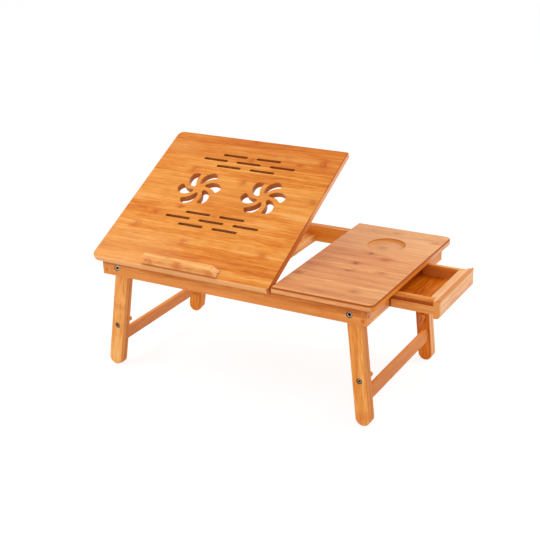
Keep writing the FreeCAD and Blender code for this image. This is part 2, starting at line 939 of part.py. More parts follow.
def make_pivot_bolt(side):
    """A socket-head bolt through the rail and the leg, fixed in the frame."""
    x = side * pivot_x
    seat = vec(x, -frame_y + pivot_bore_depth, pivot_z)
    top_y = seat.y - pivot_head_h
    head = rod(seat, -AXIS_Y, pivot_head_r, pivot_head_h)
    head = bevel_edges(head, head_bevel, at_y(top_y))
    socket = hexagon_bar(x, top_y, pivot_z, pivot_socket_r, pivot_socket_depth)
    end = upper_in - washer_gap - pivot_nut_h
    shank = rod(seat, AXIS_Y, pivot_bolt_r, frame_y - pivot_bore_depth - end)
    return head.fuse(shank).cut(socket).removeSplitter()


def make_pivot_washer(side):
    start = vec(side * pivot_x, -rail_in, pivot_z)
    disc = rod(start, AXIS_Y, washer_r, washer_t)
    return disc.cut(rod(start, AXIS_Y, pivot_bolt_r, washer_t))


def make_pivot_nut(side):
    """A hexagonal lock nut on the inner side of the leg."""
    start = vec(side * pivot_x, -upper_in + washer_gap, pivot_z)
    nut = hexagon_bar(start.x, start.y, start.z, pivot_nut_r, pivot_nut_h)
    return nut.cut(rod(start, AXIS_Y, pivot_bolt_r, pivot_nut_h))


def stood(shape, side, slide):
    """Put a leg piece at its pivot, slid along the leg and splayed."""
    placed = shape.copy()
    placed.translate(vec(0, 0, -slide))
    if side == LEFT:
        placed = mirrored_x(placed)
    splay = left_splay if side == LEFT else -right_splay
    placed.rotate(ORIGIN, AXIS_Y, splay)
    placed.translate(vec(side * pivot_x, 0, pivot_z))
    return placed


# Drawer


def drawer_groove():
    low = groove_z - groove_h / 2
    high = groove_z + groove_h / 2
    y0 = -drawer_half_w
    return block(drawer_back_x, drawer_front_x, y0, y0 + groove_floor, low, high)


def make_drawer_side():
    side = block(
        drawer_back_x, drawer_front_x, -drawer_half_w, -drawer_in_y, drawer_low_z, drawer_top_z
    )
    side = round_edges(side, rail_round, lambda box: at_z(drawer_top_z)(box) and box.XLength > NEAR)
    return side.cut([drawer_groove(), bottom_panel()])


def bottom_panel():
    """The bottom board, let into the sides and into the two walls."""
    z = drawer_low_z + drawer_bottom_up
    half = drawer_in_y + bottom_let_in
    x0 = drawer_back_x + drawer_side_t - bottom_let_in
    x1 = drawer_front_x - drawer_wall_t + bottom_let_in
    return block(x0, x1, -half, half, z, z + drawer_bottom_t)


def drawer_wall(inner_x, outer_x):
    """A wall between the sides, rounded along its inner top edge."""
    wall = block(inner_x, outer_x, -drawer_in_y, drawer_in_y, drawer_low_z, drawer_top_z)
    inner, top = at_x(inner_x), at_z(drawer_top_z)
    wall = round_edges(wall, rail_round, lambda box: inner(box) and top(box))
    return wall.cut(bottom_panel())


def make_drawer_front_wall():
    wall = drawer_wall(drawer_front_x - drawer_wall_t, drawer_front_x)
    return wall.cut(drawer_screws())


def drawer_front_side():
    """The front board seen from its end: a ledge that scoops up to a rounded lip."""
    y = -drawer_front_half_w
    x0 = drawer_front_x
    x1 = x0 + drawer_front_t
    low = drawer_front_low
    rise = drawer_front_high - drawer_top_z
    lip_x = x1 - lip_r
    lip_z = drawer_front_high - lip_r
    scoop_x = x0 + front_ledge
    # The scoop lies flat on the ledge and meets the lip's round without a corner.
    run = lip_x - scoop_x
    scoop_r = (run**2 + (rise - lip_r) ** 2 - lip_r**2) / (2 * rise)
    scoop_z = drawer_top_z + scoop_r
    fall = math.atan2(scoop_z - lip_z, run)
    meet = (scoop_x + scoop_r * math.cos(fall), scoop_z - scoop_r * math.sin(fall))
    half_fall = (math.pi / 2 + fall) / 2
    scoop_mid = (
        scoop_x + scoop_r * math.cos(half_fall),
        scoop_z - scoop_r * math.sin(half_fall),
    )
    foot_cut = front_foot_r * (1 - math.sqrt(0.5))
    foot_mid = (x1 - foot_cut, low + foot_cut)
    pieces = (
        ((x0, drawer_top_z), (x0, low)),
        ((x0, low), (x1 - front_foot_r, low)),
        ((x1 - front_foot_r, low), foot_mid, (x1, low + front_foot_r)),
        ((x1, low + front_foot_r), (x1, lip_z)),
        ((x1, lip_z), (lip_x, drawer_front_high), meet),
        (meet, scoop_mid, (scoop_x, drawer_top_z)),
        ((scoop_x, drawer_top_z), (x0, drawer_top_z)),
    )
    edges = []
    for piece in pieces:
        points = [vec(x, y, z) for x, z in piece]
        curve = Part.LineSegment(*points) if len(points) == 2 else Part.Arc(*points)
        edges.append(curve.toShape())
    return Part.Wire(edges)


def make_drawer_front():
    """The front board, its outer corners rounded in plan."""
    x1 = drawer_front_x + drawer_front_t
    half = drawer_front_half_w
    plan = block(drawer_front_x, x1, -half, half, drawer_front_low, drawer_front_high)
    plan = round_edges(plan, front_corner_r, upright_at(x1))
    front = sweep(drawer_front_side(), vec(0, 2 * half, 0)).common(plan)
    return front.cut(drawer_screws())


def drawer_screws():
    """Two screws from inside the drawer into the front board."""
    length = drawer_wall_t + front_screw_grip
    spots = [vec(drawer_front_x - drawer_wall_t, s * front_screw_y, front_screw_z) for s in (-1, 1)]
    return [
        countersunk_screw(spot, AXIS_X, wood_screw_r, wood_screw_head_r, length) for spot in spots
    ]


def save_frame():
    hinged_rail = make_hinged_rail()
    plain_rail = mirrored_y(make_front_rail())
    save("front_rail", hinged_rail)
    save("back_rail", plain_rail)
    save("left_end_rail", make_left_end_rail())
    save("right_stub_front", make_right_stub())
    save("right_stub_back", mirrored_y(make_right_stub()))
    pins = []
    for side in (LEFT, RIGHT):
        pins += both_sides(corner_pin(side, corner_pin_length))
    save("corner_pins", pins)
    save("centre_bar", make_centre_bar())
    save("bar_dowels", both_sides(bar_dowel()))
    save("prop_rack", make_rack())
    save("rack_screws", rack_screws())
    save("seam_batten", make_batten())
    save("runner_front", make_runner())
    save("runner_back", mirrored_y(make_runner()))
    save("fixed_top", make_fixed_top())


def save_tilting_board():
    save("tilt_top", make_tilt_top())
    save("stop_bar", make_stop_bar())
    save("stop_bar_screws", [tilted(screw) for screw in stop_screws()])
    save("hinge_rail_leaves", [make_leaf(x, -1) for x in hinge_xs])
    save("hinge_board_leaves", [tilted(make_leaf(x, 1)) for x in hinge_xs])
    save("hinge_pins", [make_hinge_pin(x) for x in hinge_xs])
    rail_screws = []
    board_screws = []
    for x in hinge_xs:
        rail_screws += leaf_screws(x, -1)
        board_screws += [tilted(screw) for screw in leaf_screws(x, 1)]
    save("hinge_rail_screws", rail_screws)
    save("hinge_board_screws", board_screws)
    save("stay_clips", [tilted(make_clip(side)) for side in (LEFT, RIGHT)])
    save("stay_clip_screws", [tilted(screw) for screw in clip_screws()])
    save("wire_stay", make_stay())


def save_legs():
    upper = make_upper_leg()
    lower = make_lower_leg()
    screw = make_clamp_screw()
    knob_turns = {
        LEFT: (left_front_knob_turn, left_back_knob_turn),
        RIGHT: (right_front_knob_turn, right_back_knob_turn),
    }
    sides = (("left", LEFT, left_extension), ("right", RIGHT, 0.0))
    for name, side, slide in sides:
        save(name + "_front_upper_leg", stood(upper, side, 0))
        save(name + "_back_upper_leg", mirrored_y(stood(upper, side, 0)))
        save(name + "_front_lower_leg", stood(lower, side, slide))
        save(name + "_back_lower_leg", mirrored_y(stood(lower, side, slide)))
        save(name + "_crossbar", stood(make_crossbar(), side, slide))
        save(name + "_clamp_screws", both_sides(stood(screw, side, 0)))
        front_turn, back_turn = knob_turns[side]
        save(name + "_front_knob", make_knob(side, front_turn))
        save(name + "_back_knob", mirrored_y(make_knob(side, back_turn)))
    bolts = []
    washers = []
    nuts = []
    for side in (LEFT, RIGHT):
        bolts += both_sides(make_pivot_bolt(side))
        washers += both_sides(make_pivot_washer(side))
        nuts += both_sides(make_pivot_nut(side))
    save("pivot_bolts", bolts)
    save("pivot_washers", washers)
    save("pivot_nuts", nuts)


def save_drawer():
    save("drawer_side_front", make_drawer_side())
    save("drawer_side_back", mirrored_y(make_drawer_side()))
    save("drawer_back_wall", drawer_wall(drawer_back_x, drawer_back_x + drawer_side_t))
    save("drawer_front_wall", make_drawer_front_wall())
    save("drawer_bottom", bottom_panel())
    save("drawer_front", make_drawer_front())
    save("drawer_screws", drawer_screws())


save_frame()
save_tilting_board()
save_legs()
save_drawer()

print("left splay", round(left_splay, 3), "extension", round(left_extension, 3))
print("leg length", round(leg_length, 3), "stay slope", round(stay_slope, 3))
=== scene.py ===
# %% [markdown]
# # A folding bamboo laptop table
#
# The table itself comes from its CAD model: two boards, a frame, a drawer, four legs that fold and
# slide, a hinged board on a wire stay, and every bolt and screw. This lesson gives it its looks.
# The bamboo is drawn by shader nodes that follow the grain of each piece, the small screws are
# modelled here with their threads and cross recesses, and a plain white studio is built around it.
#
# First the model is loaded and everything is deselected, because an operator acts on all that is
# selected.

# %% Load the table
import json
import math

import bpy
from mathutils import Matrix, Vector


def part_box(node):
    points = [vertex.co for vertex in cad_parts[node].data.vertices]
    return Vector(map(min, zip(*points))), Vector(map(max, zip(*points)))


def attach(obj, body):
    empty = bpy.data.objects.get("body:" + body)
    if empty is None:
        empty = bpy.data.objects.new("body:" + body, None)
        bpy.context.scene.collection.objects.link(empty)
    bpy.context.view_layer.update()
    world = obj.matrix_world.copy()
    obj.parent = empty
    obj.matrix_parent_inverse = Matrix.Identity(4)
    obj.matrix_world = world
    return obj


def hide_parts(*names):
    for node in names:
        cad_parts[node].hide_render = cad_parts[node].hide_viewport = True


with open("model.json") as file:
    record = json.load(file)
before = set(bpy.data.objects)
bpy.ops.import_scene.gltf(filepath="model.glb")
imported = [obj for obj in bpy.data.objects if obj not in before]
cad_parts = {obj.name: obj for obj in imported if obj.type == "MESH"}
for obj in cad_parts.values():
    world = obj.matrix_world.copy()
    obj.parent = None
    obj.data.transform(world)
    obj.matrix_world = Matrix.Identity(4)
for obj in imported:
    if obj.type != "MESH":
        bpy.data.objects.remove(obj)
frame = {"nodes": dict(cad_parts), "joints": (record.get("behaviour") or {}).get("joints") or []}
bpy.ops.object.select_all(action="DESELECT")
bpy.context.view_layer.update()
print("pieces of the table:", len(frame["nodes"]))

# %% [markdown]
# ## The camera
#
# The picture was taken from the right of the front, a little above the table, with a long lens
# about two metres away. A camera is easiest to place from such facts: where it looks, how far away
# it is, and how it is turned, raised and rolled. The lens length is for a sensor 36 mm wide.

# %% Place the camera
look_at = Vector((-0.00715, 0.0, 0.18259))
camera_distance = 2.0379
camera_turn = math.radians(30.15)
camera_rise = math.radians(22.27)
camera_roll = math.radians(-1.8)
lens_mm, sensor_mm = 74.98, 36.0

aim = Matrix.Rotation(camera_turn, 3, "Z") @ Matrix.Rotation(math.pi / 2 - camera_rise, 3, "X")
aim = aim @ Matrix.Rotation(camera_roll, 3, "Z")
bpy.ops.object.camera_add(
    location=look_at + aim @ Vector((0, 0, camera_distance)), rotation=aim.to_euler()
)
camera = bpy.context.object
camera.name = "camera"
camera.data.lens = lens_mm
camera.data.sensor_width = sensor_mm
bpy.context.scene.camera = camera
bpy.context.scene.view_settings.view_transform = "Standard"
print("camera stands at", [round(value, 3) for value in camera.location])

# %% [markdown]
# ## Node helpers
#
# A shader is a tree of small nodes. A few helpers keep its making short: one adds a node with its
# settings, one does a step of arithmetic, one fades between two values, and others split a vector,
# lay a noise or measure a distance. Three more start, end and use a node group, which is a piece of
# tree with named inputs and outputs that several materials share.

# %% Helpers for nodes
def give(tree, node, inputs):
    """Give a node's inputs a number, a colour or a link."""
    for name, value in inputs.items():
        if isinstance(value, bpy.types.NodeSocket):
            tree.links.new(value, node.inputs[name])
        else:
            node.inputs[name].default_value = value


def add_node(tree, kind, inputs=None, **settings):
    """Add a node whose type is ShaderNode and the kind, and give it its settings."""
    node = tree.nodes.new("ShaderNode" + kind)
    for name, value in settings.items():
        setattr(node, name, value)
    give(tree, node, inputs or {})
    return node


def axes(tree, vector):
    """The X, Y and Z of a vector."""
    return add_node(tree, "SeparateXYZ", {"Vector": vector}).outputs[:]


def surface(tree, what):
    """X, Y and Z of the point on the piece (Object) or of the way its face looks (Normal)."""
    return axes(tree, add_node(tree, "TexCoord").outputs[what])


def noise(tree, vector, scale, detail):
    inputs = {"Vector": vector, "Scale": scale, "Detail": detail}
    return add_node(tree, "TexNoise", inputs).outputs["Fac"]


# %% Helpers for arithmetic
def calculate(tree, operation, first, second=0.0, third=None, clamp=False):
    """One step of arithmetic; each value is a number or another node's output."""
    inputs = {0: first, 1: second}
    if third is not None:
        inputs[2] = third
    node = add_node(tree, "Math", inputs, operation=operation, use_clamp=clamp)
    return node.outputs[0]


def times(tree, first, second):
    return calculate(tree, "MULTIPLY", first, second)


def minus(tree, first, second):
    return calculate(tree, "SUBTRACT", first, second)


def absolute(tree, value):
    return calculate(tree, "ABSOLUTE", value)


def add_up(tree, value, layers):
    """Add layers, each a value and a weight."""
    for layer, weight in layers:
        value = calculate(tree, "MULTIPLY_ADD", layer, weight, value)
    return value


def distance(tree, value, centre):
    return absolute(tree, minus(tree, value, centre))


def from_centre(tree, first, second, centre):
    """The distance from a centre, seen along the third direction."""
    over = minus(tree, first, centre[0])
    up = minus(tree, second, centre[1])
    return calculate(tree, "SQRT", calculate(tree, "MULTIPLY_ADD", up, up, times(tree, over, over)))


# %% Helpers for masks
def fade(tree, value, start, end):
    """Turn a value into a mask: 0 up to start, 1 from end on, smooth between."""
    inputs = {"Value": value, "From Min": start, "From Max": end}
    node = add_node(tree, "MapRange", inputs, interpolation_type="SMOOTHSTEP")
    return node.outputs["Result"]


def in_band(tree, value, centre, half, soft):
    """1 near a centre, 0 beyond half of the band's width."""
    return fade(tree, distance(tree, value, centre), half, half - soft)


def in_circle(tree, x, z, centre, radius):
    """1 inside a circle that is seen along Y."""
    soft = 0.0003
    return fade(tree, from_centre(tree, x, z, centre), radius + soft, radius - soft)


def bump(tree, height, strength, depth):
    """A normal that follows a height."""
    inputs = {"Height": height, "Strength": strength, "Distance": depth}
    return add_node(tree, "Bump", inputs).outputs["Normal"]


# %% Helpers for node groups
def start_group(name, inputs, outputs):
    """Start a shader node group and return it with its two end nodes."""
    group = bpy.data.node_groups.new(name, "ShaderNodeTree")
    for socket in inputs:
        kind = "NodeSocketVector" if socket in ("Vector", "Normal") else "NodeSocketFloat"
        group.interface.new_socket(name=socket, in_out="INPUT", socket_type=kind)
    for socket in outputs:
        group.interface.new_socket(name=socket, in_out="OUTPUT", socket_type="NodeSocketFloat")
    return group, group.nodes.new("NodeGroupInput").outputs, group.nodes.new("NodeGroupOutput")


def end_group(group, result, values):
    """Link a group's results."""
    give(group, result, values)
    print(group.name, "takes", len(group.nodes), "nodes")
    return group


def use_group(tree, group, inputs):
    return add_node(tree, "Group", inputs, node_tree=group).outputs


# %% [markdown]
# ## Bamboo strips
#
# A bamboo board is glued from strips about two centimetres wide, each split from another cane, so
# each has its own tone. The group counts the strips across the grain, gives each strip a random
# tone, draws the thin glue line between neighbours, and says where the nearest node of the cane
# lies in this strip. X runs along the grain and Y across the strips.

# %% Group: strips
def make_strips_group():
    takes = ["Vector", "Strip width", "Seed", "Spacing"]
    gives = ["Tone", "Seam", "Node X", "Node Y", "Chance"]
    group, given, result = start_group("bamboo strips", takes, gives)
    x, y, _ = axes(group, given["Vector"])
    across = calculate(group, "DIVIDE", y, given["Strip width"])
    shifted = calculate(group, "ADD", across, given["Seed"])
    strip = calculate(group, "FLOOR", shifted)
    random = add_node(group, "TexWhiteNoise", {"W": strip}, noise_dimensions="1D")
    parts = add_node(group, "SeparateColor", {"Color": random.outputs["Color"]})
    slide = parts.outputs["Green"]

    along = calculate(group, "DIVIDE", x, given["Spacing"])
    slid = calculate(group, "FLOOR", calculate(group, "ADD", along, slide))
    centre = minus(group, calculate(group, "ADD", slid, 0.5), slide)
    middle = minus(group, calculate(group, "ADD", strip, 0.5), given["Seed"])
    cell = add_node(group, "CombineXYZ", {"X": strip, "Y": slid})
    chance = add_node(group, "TexWhiteNoise", {"Vector": cell.outputs["Vector"]})
    part = minus(group, shifted, strip)
    values = {
        "Tone": random.outputs["Value"],
        "Seam": fade(group, distance(group, part, 0.5), 0.475, 0.5),
        "Node X": times(group, centre, given["Spacing"]),
        "Node Y": times(group, middle, given["Strip width"]),
        "Chance": chance.outputs["Value"],
    }
    return end_group(group, result, values)


strips_group = make_strips_group()

# %% [markdown]
# ## Fibres
#
# Along the grain the colour drifts in soft streaks a centimetre wide, and over them lie lines two
# or three millimetres wide and fibres under a millimetre. All are noise that is squeezed across the
# grain: a texture whose Y is scaled twenty times more than its X comes out as long lines. A fourth,
# broader layer gives slow clouds.

# %% Group: fibres
def stretched_noise(tree, vector, seed, scale, detail):
    """Noise in long lines, which a seed makes different."""
    stretched = add_node(tree, "Mapping", {"Vector": vector, "Scale": scale})
    inputs = {"Vector": stretched.outputs["Vector"], "W": seed, "Scale": 1.0, "Detail": detail}
    inputs["Distortion"] = 0.1
    lines = add_node(tree, "TexNoise", inputs, noise_dimensions="4D")
    return fade(tree, lines.outputs["Fac"], 0.32, 0.68)


def make_fibre_group():
    takes, gives = ["Vector", "Seed"], ["Streak", "Line", "Fibre", "Cloud"]
    group, given, result = start_group("bamboo fibres", takes, gives)
    layers = {
        "Streak": ((5.0, 95.0, 95.0), 2.0),
        "Line": ((14.0, 290.0, 290.0), 3.0),
        "Fibre": ((50.0, 800.0, 800.0), 3.0),
        "Cloud": ((10.0, 30.0, 30.0), 2.0),
    }
    masks = {}
    for name, (scale, detail) in layers.items():
        masks[name] = stretched_noise(group, given["Vector"], given["Seed"], scale, detail)
    return end_group(group, result, masks)


fibre_group = make_fibre_group()

# %% [markdown]
# ## Node marks
#
# Where the cane had a knuckle, the strip shows a soft, deeper orange cloud with a small red-brown
# smudge in it. Both are ellipses round a centre, broken up by noise. The centre is an input, so
# that the same group draws the marks that repeat along each strip and the listed ones.

# %% Group: node marks
cloud_reach, smudge_reach, mark_sway = 0.018, 0.0075, 0.016


def make_mark_group():
    takes, gives = ["Vector", "X", "Y", "Half"], ["Cloud", "Smudge"]
    group, given, result = start_group("bamboo node mark", takes, gives)
    x, y, _ = axes(group, given["Vector"])
    broad = noise(group, given["Vector"], 75.0, 2.0)
    fine = noise(group, given["Vector"], 420.0, 3.0)
    wander = calculate(group, "MULTIPLY_ADD", broad, mark_sway, -mark_sway / 2)
    from_x = minus(group, x, given["X"])
    along = absolute(group, calculate(group, "ADD", from_x, wander))
    across = calculate(group, "DIVIDE", distance(group, y, given["Y"]), given["Half"])
    broken = calculate(group, "MULTIPLY_ADD", fade(group, fine, 0.36, 0.64), 0.7, 0.3)
    cloud = times(group, fade(group, along, cloud_reach, 0.003), fade(group, across, 1.2, 0.4))
    smudge = times(group, fade(group, along, smudge_reach, 0.0015), fade(group, across, 0.9, 0.2))
    marks = {"Cloud": times(group, cloud, broken), "Smudge": times(group, smudge, broken)}
    return end_group(group, result, marks)


mark_group = make_mark_group()

# %% [markdown]
# ## Rounded and cut edges
#
# A router rounds the boards' edges, and several finishes draw that rounding towards a dark
# brown. The group reads the surface normal in the piece's own frame. Where the normal leans, the
# edge is rounded over; where it lies flat, the wall was cut straight down; where it points along
# the grain, the cut ends of the fibres show, which drink more varnish and look darker.

# %% Group: edges
def make_edge_group():
    group, given, result = start_group("cut edges", ["Normal"], ["Rounded", "Wall", "End", "Front"])
    x, y, z = axes(group, given["Normal"])
    upright = absolute(group, z)
    masks = {
        "Rounded": times(group, fade(group, upright, 0.15, 0.4), fade(group, upright, 0.99, 0.85)),
        "Wall": fade(group, upright, 0.5, 0.2),
        "End": fade(group, absolute(group, x), 0.75, 0.95),
        "Front": fade(group, y, -0.2, -0.45),
    }
    return end_group(group, result, masks)


edge_group = make_edge_group()

# %% [markdown]
# ## Colour helpers
#
# A ramp turns one value, the tone, into a colour. Each ramp here is five colours at even steps,
# from the darkest fibres to the palest. A stain is a mask, a strength and a colour, and is mixed
# over what lies below it.

# %% Functions: ramps and stains
def color_by_tone(tree, tone, ramp):
    """The colour for a tone from 0 to 1, from a ramp of evenly spaced colours."""
    node = add_node(tree, "ValToRGB", {"Fac": tone})
    steps = node.color_ramp.elements
    steps.remove(steps[1])
    steps[0].position, steps[0].color = 0.0, (*ramp[0], 1.0)
    for number, color in enumerate(ramp[1:], start=1):
        steps.new(number / (len(ramp) - 1)).color = (*color, 1.0)
    return node.outputs["Color"]


def mix_colors(tree, mask, first, second):
    """Mix two colours by a mask; each is a colour with alpha or a node's output."""
    mix = add_node(tree, "Mix", {"Factor": mask, 6: first, 7: second}, data_type="RGBA")
    return mix.outputs[2]


def lay_stains(tree, color, stains):
    """Mix each stain over the colour so far."""
    for mask, strength, stain in stains:
        color = mix_colors(tree, times(tree, mask, strength), color, (*stain, 1.0))
    return color


def start_material(name):
    material = bpy.data.materials.new(name)
    material.use_nodes = True
    tree = material.node_tree
    return material, tree, tree.nodes["Principled BSDF"], add_node(tree, "TexCoord")


# %% [markdown]
# ## Varnished bamboo
#
# One function makes every bamboo finish. It turns the pattern so that X follows the grain of the
# piece, adds strip tone, streaks and fibres up to one value, and reads the colour for that value
# from a ramp. On cut ends the value is drawn towards one tone, because the fibres are seen end on.
# The knuckles, a dark brown on the rounded edges and the stains of some pieces are mixed over it,
# each with a colour of its own. On the tilting board the rounded front edge takes a painted
# highlight instead, and several stains are painted light or shade. The varnish is a satin coat over
# a fairly smooth base, and the fibres also stand up a little through a bump.

# %% Functions: knuckles, tone and varnish
def knuckle_masks(tree, grain, strips, strip, own_marks, marks):
    """The clouds and smudges of the knuckles along each strip and of those set by hand."""
    own = {"Vector": grain, "X": strips["Node X"], "Y": strips["Node Y"], "Half": strip / 2}
    spot = use_group(tree, mark_group, own)
    shown = times(tree, fade(tree, strips["Chance"], 0.3, 0.8), own_marks)
    cloud = times(tree, spot["Cloud"], shown)
    smudge = times(tree, spot["Smudge"], shown)
    for x, y, half, depth in marks:
        spot = use_group(tree, mark_group, {"Vector": grain, "X": x, "Y": y, "Half": half})
        cloud = calculate(tree, "MAXIMUM", cloud, spot["Cloud"])
        smudge = calculate(tree, "MAXIMUM", smudge, times(tree, spot["Smudge"], depth))
    return cloud, smudge


def grain_tone(tree, strips, fibres):
    """Add the strip's own tone, the streaks and fibres and the glue line up to one value."""
    layers = (
        (strips["Tone"], 0.24),
        (fibres["Streak"], 0.26),
        (fibres["Line"], 0.30),
        (fibres["Fibre"], 0.32),
        (fibres["Cloud"], 0.20),
        (strips["Seam"], -0.10),
    )
    return add_up(tree, -0.07, layers)


def varnish(tree, shader, strips, fibres, cloud, smudge):
    """The roughness and the fine relief under the coat."""
    rough = add_up(tree, 0.34, [(fibres["Fibre"], 0.12), (cloud, 0.1)])
    grooves = [(fibres["Fibre"], 0.5), (smudge, -0.8), (strips["Seam"], -0.6)]
    relief = add_up(tree, fibres["Line"], grooves)
    give(tree, shader, {"Roughness": rough, "Normal": bump(tree, relief, 0.35, 0.0002)})


# %% Function: bamboo
edge_brown = (0.33, 0.062, 0.001)
usual_knuckle = ((0.62, 0.115, 0.001), (0.34, 0.050, 0.001))


def bamboo(
    name, ramp, turn=(0, 0, 0), pivot=(0, 0, 0), strip=0.021, seed=0.0, spacing=0.27, marks=(),
    own_marks=0.5, knuckle=usual_knuckle, edge=0.0, front_edge=edge_brown, ends=0.2, stains=None,
    gloss=0.3, coat=0.12,
):
    """A bamboo finish whose grain runs along X after the turn about the pivot."""
    material, tree, shader, place = start_material(name)
    from_pivot = {"Vector": place.outputs["Object"], "Location": pivot, "Rotation": turn}
    grain = add_node(tree, "Mapping", from_pivot, vector_type="TEXTURE").outputs["Vector"]
    turned = {"Vector": place.outputs["Normal"], "Rotation": turn}
    facing = add_node(tree, "Mapping", turned, vector_type="TEXTURE").outputs["Vector"]

    cut = {"Vector": grain, "Strip width": strip, "Seed": seed, "Spacing": spacing}
    strips = use_group(tree, strips_group, cut)
    fibres = use_group(tree, fibre_group, {"Vector": grain, "Seed": seed})
    edges = use_group(tree, edge_group, {"Normal": facing})
    cloud, smudge = knuckle_masks(tree, grain, strips, strip, own_marks, marks)

    tone = grain_tone(tree, strips, fibres)
    calm = {"Factor": times(tree, edges["End"], 0.6), "A": tone, "B": 0.5 - ends}
    tone = add_node(tree, "Mix", calm).outputs["Result"]
    front_rounding = times(tree, edges["Rounded"], edges["Front"])
    other_rounding = minus(tree, edges["Rounded"], front_rounding)
    layers = [
        (cloud, 0.75, knuckle[0]),
        (smudge, 0.90, knuckle[1]),
        (other_rounding, edge, edge_brown),
        # On the tilting board the front rounding takes a painted highlight instead of the brown.
        (front_rounding, edge, front_edge),
    ]
    if stains:
        layers += stains(tree, grain, edges)
    color = lay_stains(tree, color_by_tone(tree, tone, ramp), layers)
    shine = {"Specular IOR Level": gloss, "Coat Weight": coat, "Coat Roughness": 0.22}
    give(tree, shader, {"Base Color": color, **shine})
    varnish(tree, shader, strips, fibres, cloud, smudge)
    return material


# %% Function: dress a piece
def finish(material, *nodes):
    """Give a finish to CAD pieces, in every slot they have."""
    for name in nodes:
        piece = frame["nodes"][name]
        if not piece.material_slots:
            piece.data.materials.append(material)
        for slot in piece.material_slots:
            slot.material = material
    print(material.name, "on", ", ".join(nodes))


# %% [markdown]
# ## The colours of the bamboo
#
# The canes were steamed before gluing, which turns them a warm orange. Each ramp goes from the
# brown of the darkest fibres through the usual orange to a pale straw. The boards, the rails, the
# legs and the inside of the drawer come from different batches and each has a ramp of its own, and
# several ramps also hold painted light: the fixed ramp is pinker with a painted sheen, the rail
# ramp darker with painted shade, the inside ramp deeper with painted shade and orange bounce light,
# and the bar and front ramps paler with painted light.

# %% Colour ramps
tilting_ramp = (
    (0.44, 0.088, 0.004),
    (0.60, 0.145, 0.008),
    (0.725, 0.218, 0.018),
    (0.82, 0.305, 0.045),
    (0.88, 0.42, 0.12),
)
# The fixed board's ramp is greyer and pinker: a painted sheen of white reflection in its colour.
fixed_ramp = (
    (0.47, 0.130, 0.040),
    (0.60, 0.195, 0.062),
    (0.70, 0.262, 0.084),
    (0.78, 0.330, 0.112),
    (0.85, 0.43, 0.18),
)
# The bar ramp is paler: painted light on the stop bar, the flat cross pieces and the left legs.
bar_ramp = (
    (0.50, 0.125, 0.014),
    (0.68, 0.22, 0.035),
    (0.85, 0.355, 0.085),
    (0.91, 0.45, 0.135),
    (0.94, 0.55, 0.22),
)
leg_ramp = (
    (0.46, 0.105, 0.010),
    (0.63, 0.172, 0.019),
    (0.765, 0.258, 0.038),
    (0.85, 0.345, 0.078),
    (0.92, 0.47, 0.16),
)
# The rail ramp is darker: painted shade on the front rail under the boards' overhang.
rail_ramp = (
    (0.38, 0.076, 0.006),
    (0.49, 0.118, 0.012),
    (0.58, 0.163, 0.021),
    (0.67, 0.220, 0.038),
    (0.77, 0.30, 0.075),
)
# The inside ramp is deeper: painted shade and orange bounce light inside the drawer and on the
# right inner strips.
inside_ramp = (
    (0.36, 0.055, 0.002),
    (0.54, 0.100, 0.003),
    (0.68, 0.158, 0.005),
    (0.78, 0.225, 0.015),
    (0.84, 0.31, 0.045),
)
# The front ramp is paler and pinker: painted light and reflection on the drawer fronts.
front_ramp = (
    (0.58, 0.190, 0.060),
    (0.74, 0.295, 0.110),
    (0.84, 0.385, 0.150),
    (0.89, 0.470, 0.210),
    (0.93, 0.560, 0.290),
)

# %% [markdown]
# ## The tilting board
#
# The board is seen at the angle it stands at, so its pattern is turned about its hinge line by that
# angle, and then the strips lie in the board. The hinge line is a joint of the model. The knuckles
# that catch the eye are listed, in metres along and across the board, with half the mark's
# width and the strength of its smudge.
#
# The walls of the vents are painted browner than the face as painted shade, most of all in the
# narrow slots. Two masks find them: a wall that lies within the field of the vents, and whether it
# belongs to a row of slots or to a fan. Along the foot of the stop bar lies a painted shadow, the
# front edge is painted pale as a painted highlight, the left front corner is painted paler as
# painted light, and the right end holds a painted reflection that turns to painted shade towards
# the front.

# %% Places on the tilting board
joints = {joint["name"]: joint for joint in frame["joints"]}
tilt_angle = math.radians(26.65)
hinge_line = joints["panel_tilt"]["pos_m"]
tilt_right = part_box("tilt_top")[1].x
bar_left, bar_right = (corner.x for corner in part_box("stop_bar"))
bar_middle, bar_half = (bar_left + bar_right) / 2, (bar_right - bar_left) / 2
bar_foot_y = -0.0043
vent_field_x, vent_field_half = -0.0876, 0.132
slot_rows, slot_row_half = (0.1152, 0.2682), 0.024
fans_y, fans_half = 0.1909, 0.050
tilting_marks = (
    (-0.100, 0.3282, 0.010, 0.8),
    (-0.087, 0.2785, 0.009, 0.8),
    (-0.188, 0.2362, 0.011, 0.4),
    (-0.075, 0.2194, 0.010, 0.8),
    (-0.166, 0.1402, 0.006, 1.0),
    (-0.230, 0.0822, 0.011, 0.4),
    (-0.209, 0.1192, 0.010, 0.5),
    (-0.117, 0.0592, 0.010, 0.5),
    (0.044, 0.0612, 0.009, 0.4),
    (0.058, 0.2935, 0.016, 1.0),
    (0.014, 0.2815, 0.006, 1.0),
    (0.078, 0.1965, 0.011, 1.0),
)
print("the board turns about", hinge_line)

# %% Finish: tilting board
# The pale colour of the tilting board's front edge is a painted highlight.
lit_front_edge = (0.86, 0.42, 0.155)


def vent_masks(tree, x, y, wall):
    """The walls of the fans and of the slots."""
    field = times(tree, wall, in_band(tree, x, vent_field_x, vent_field_half, 0.004))
    rows = [in_band(tree, y, row, slot_row_half, 0.003) for row in slot_rows]
    fans = times(tree, field, in_band(tree, y, fans_y, fans_half, 0.004))
    return fans, times(tree, field, calculate(tree, "ADD", *rows))


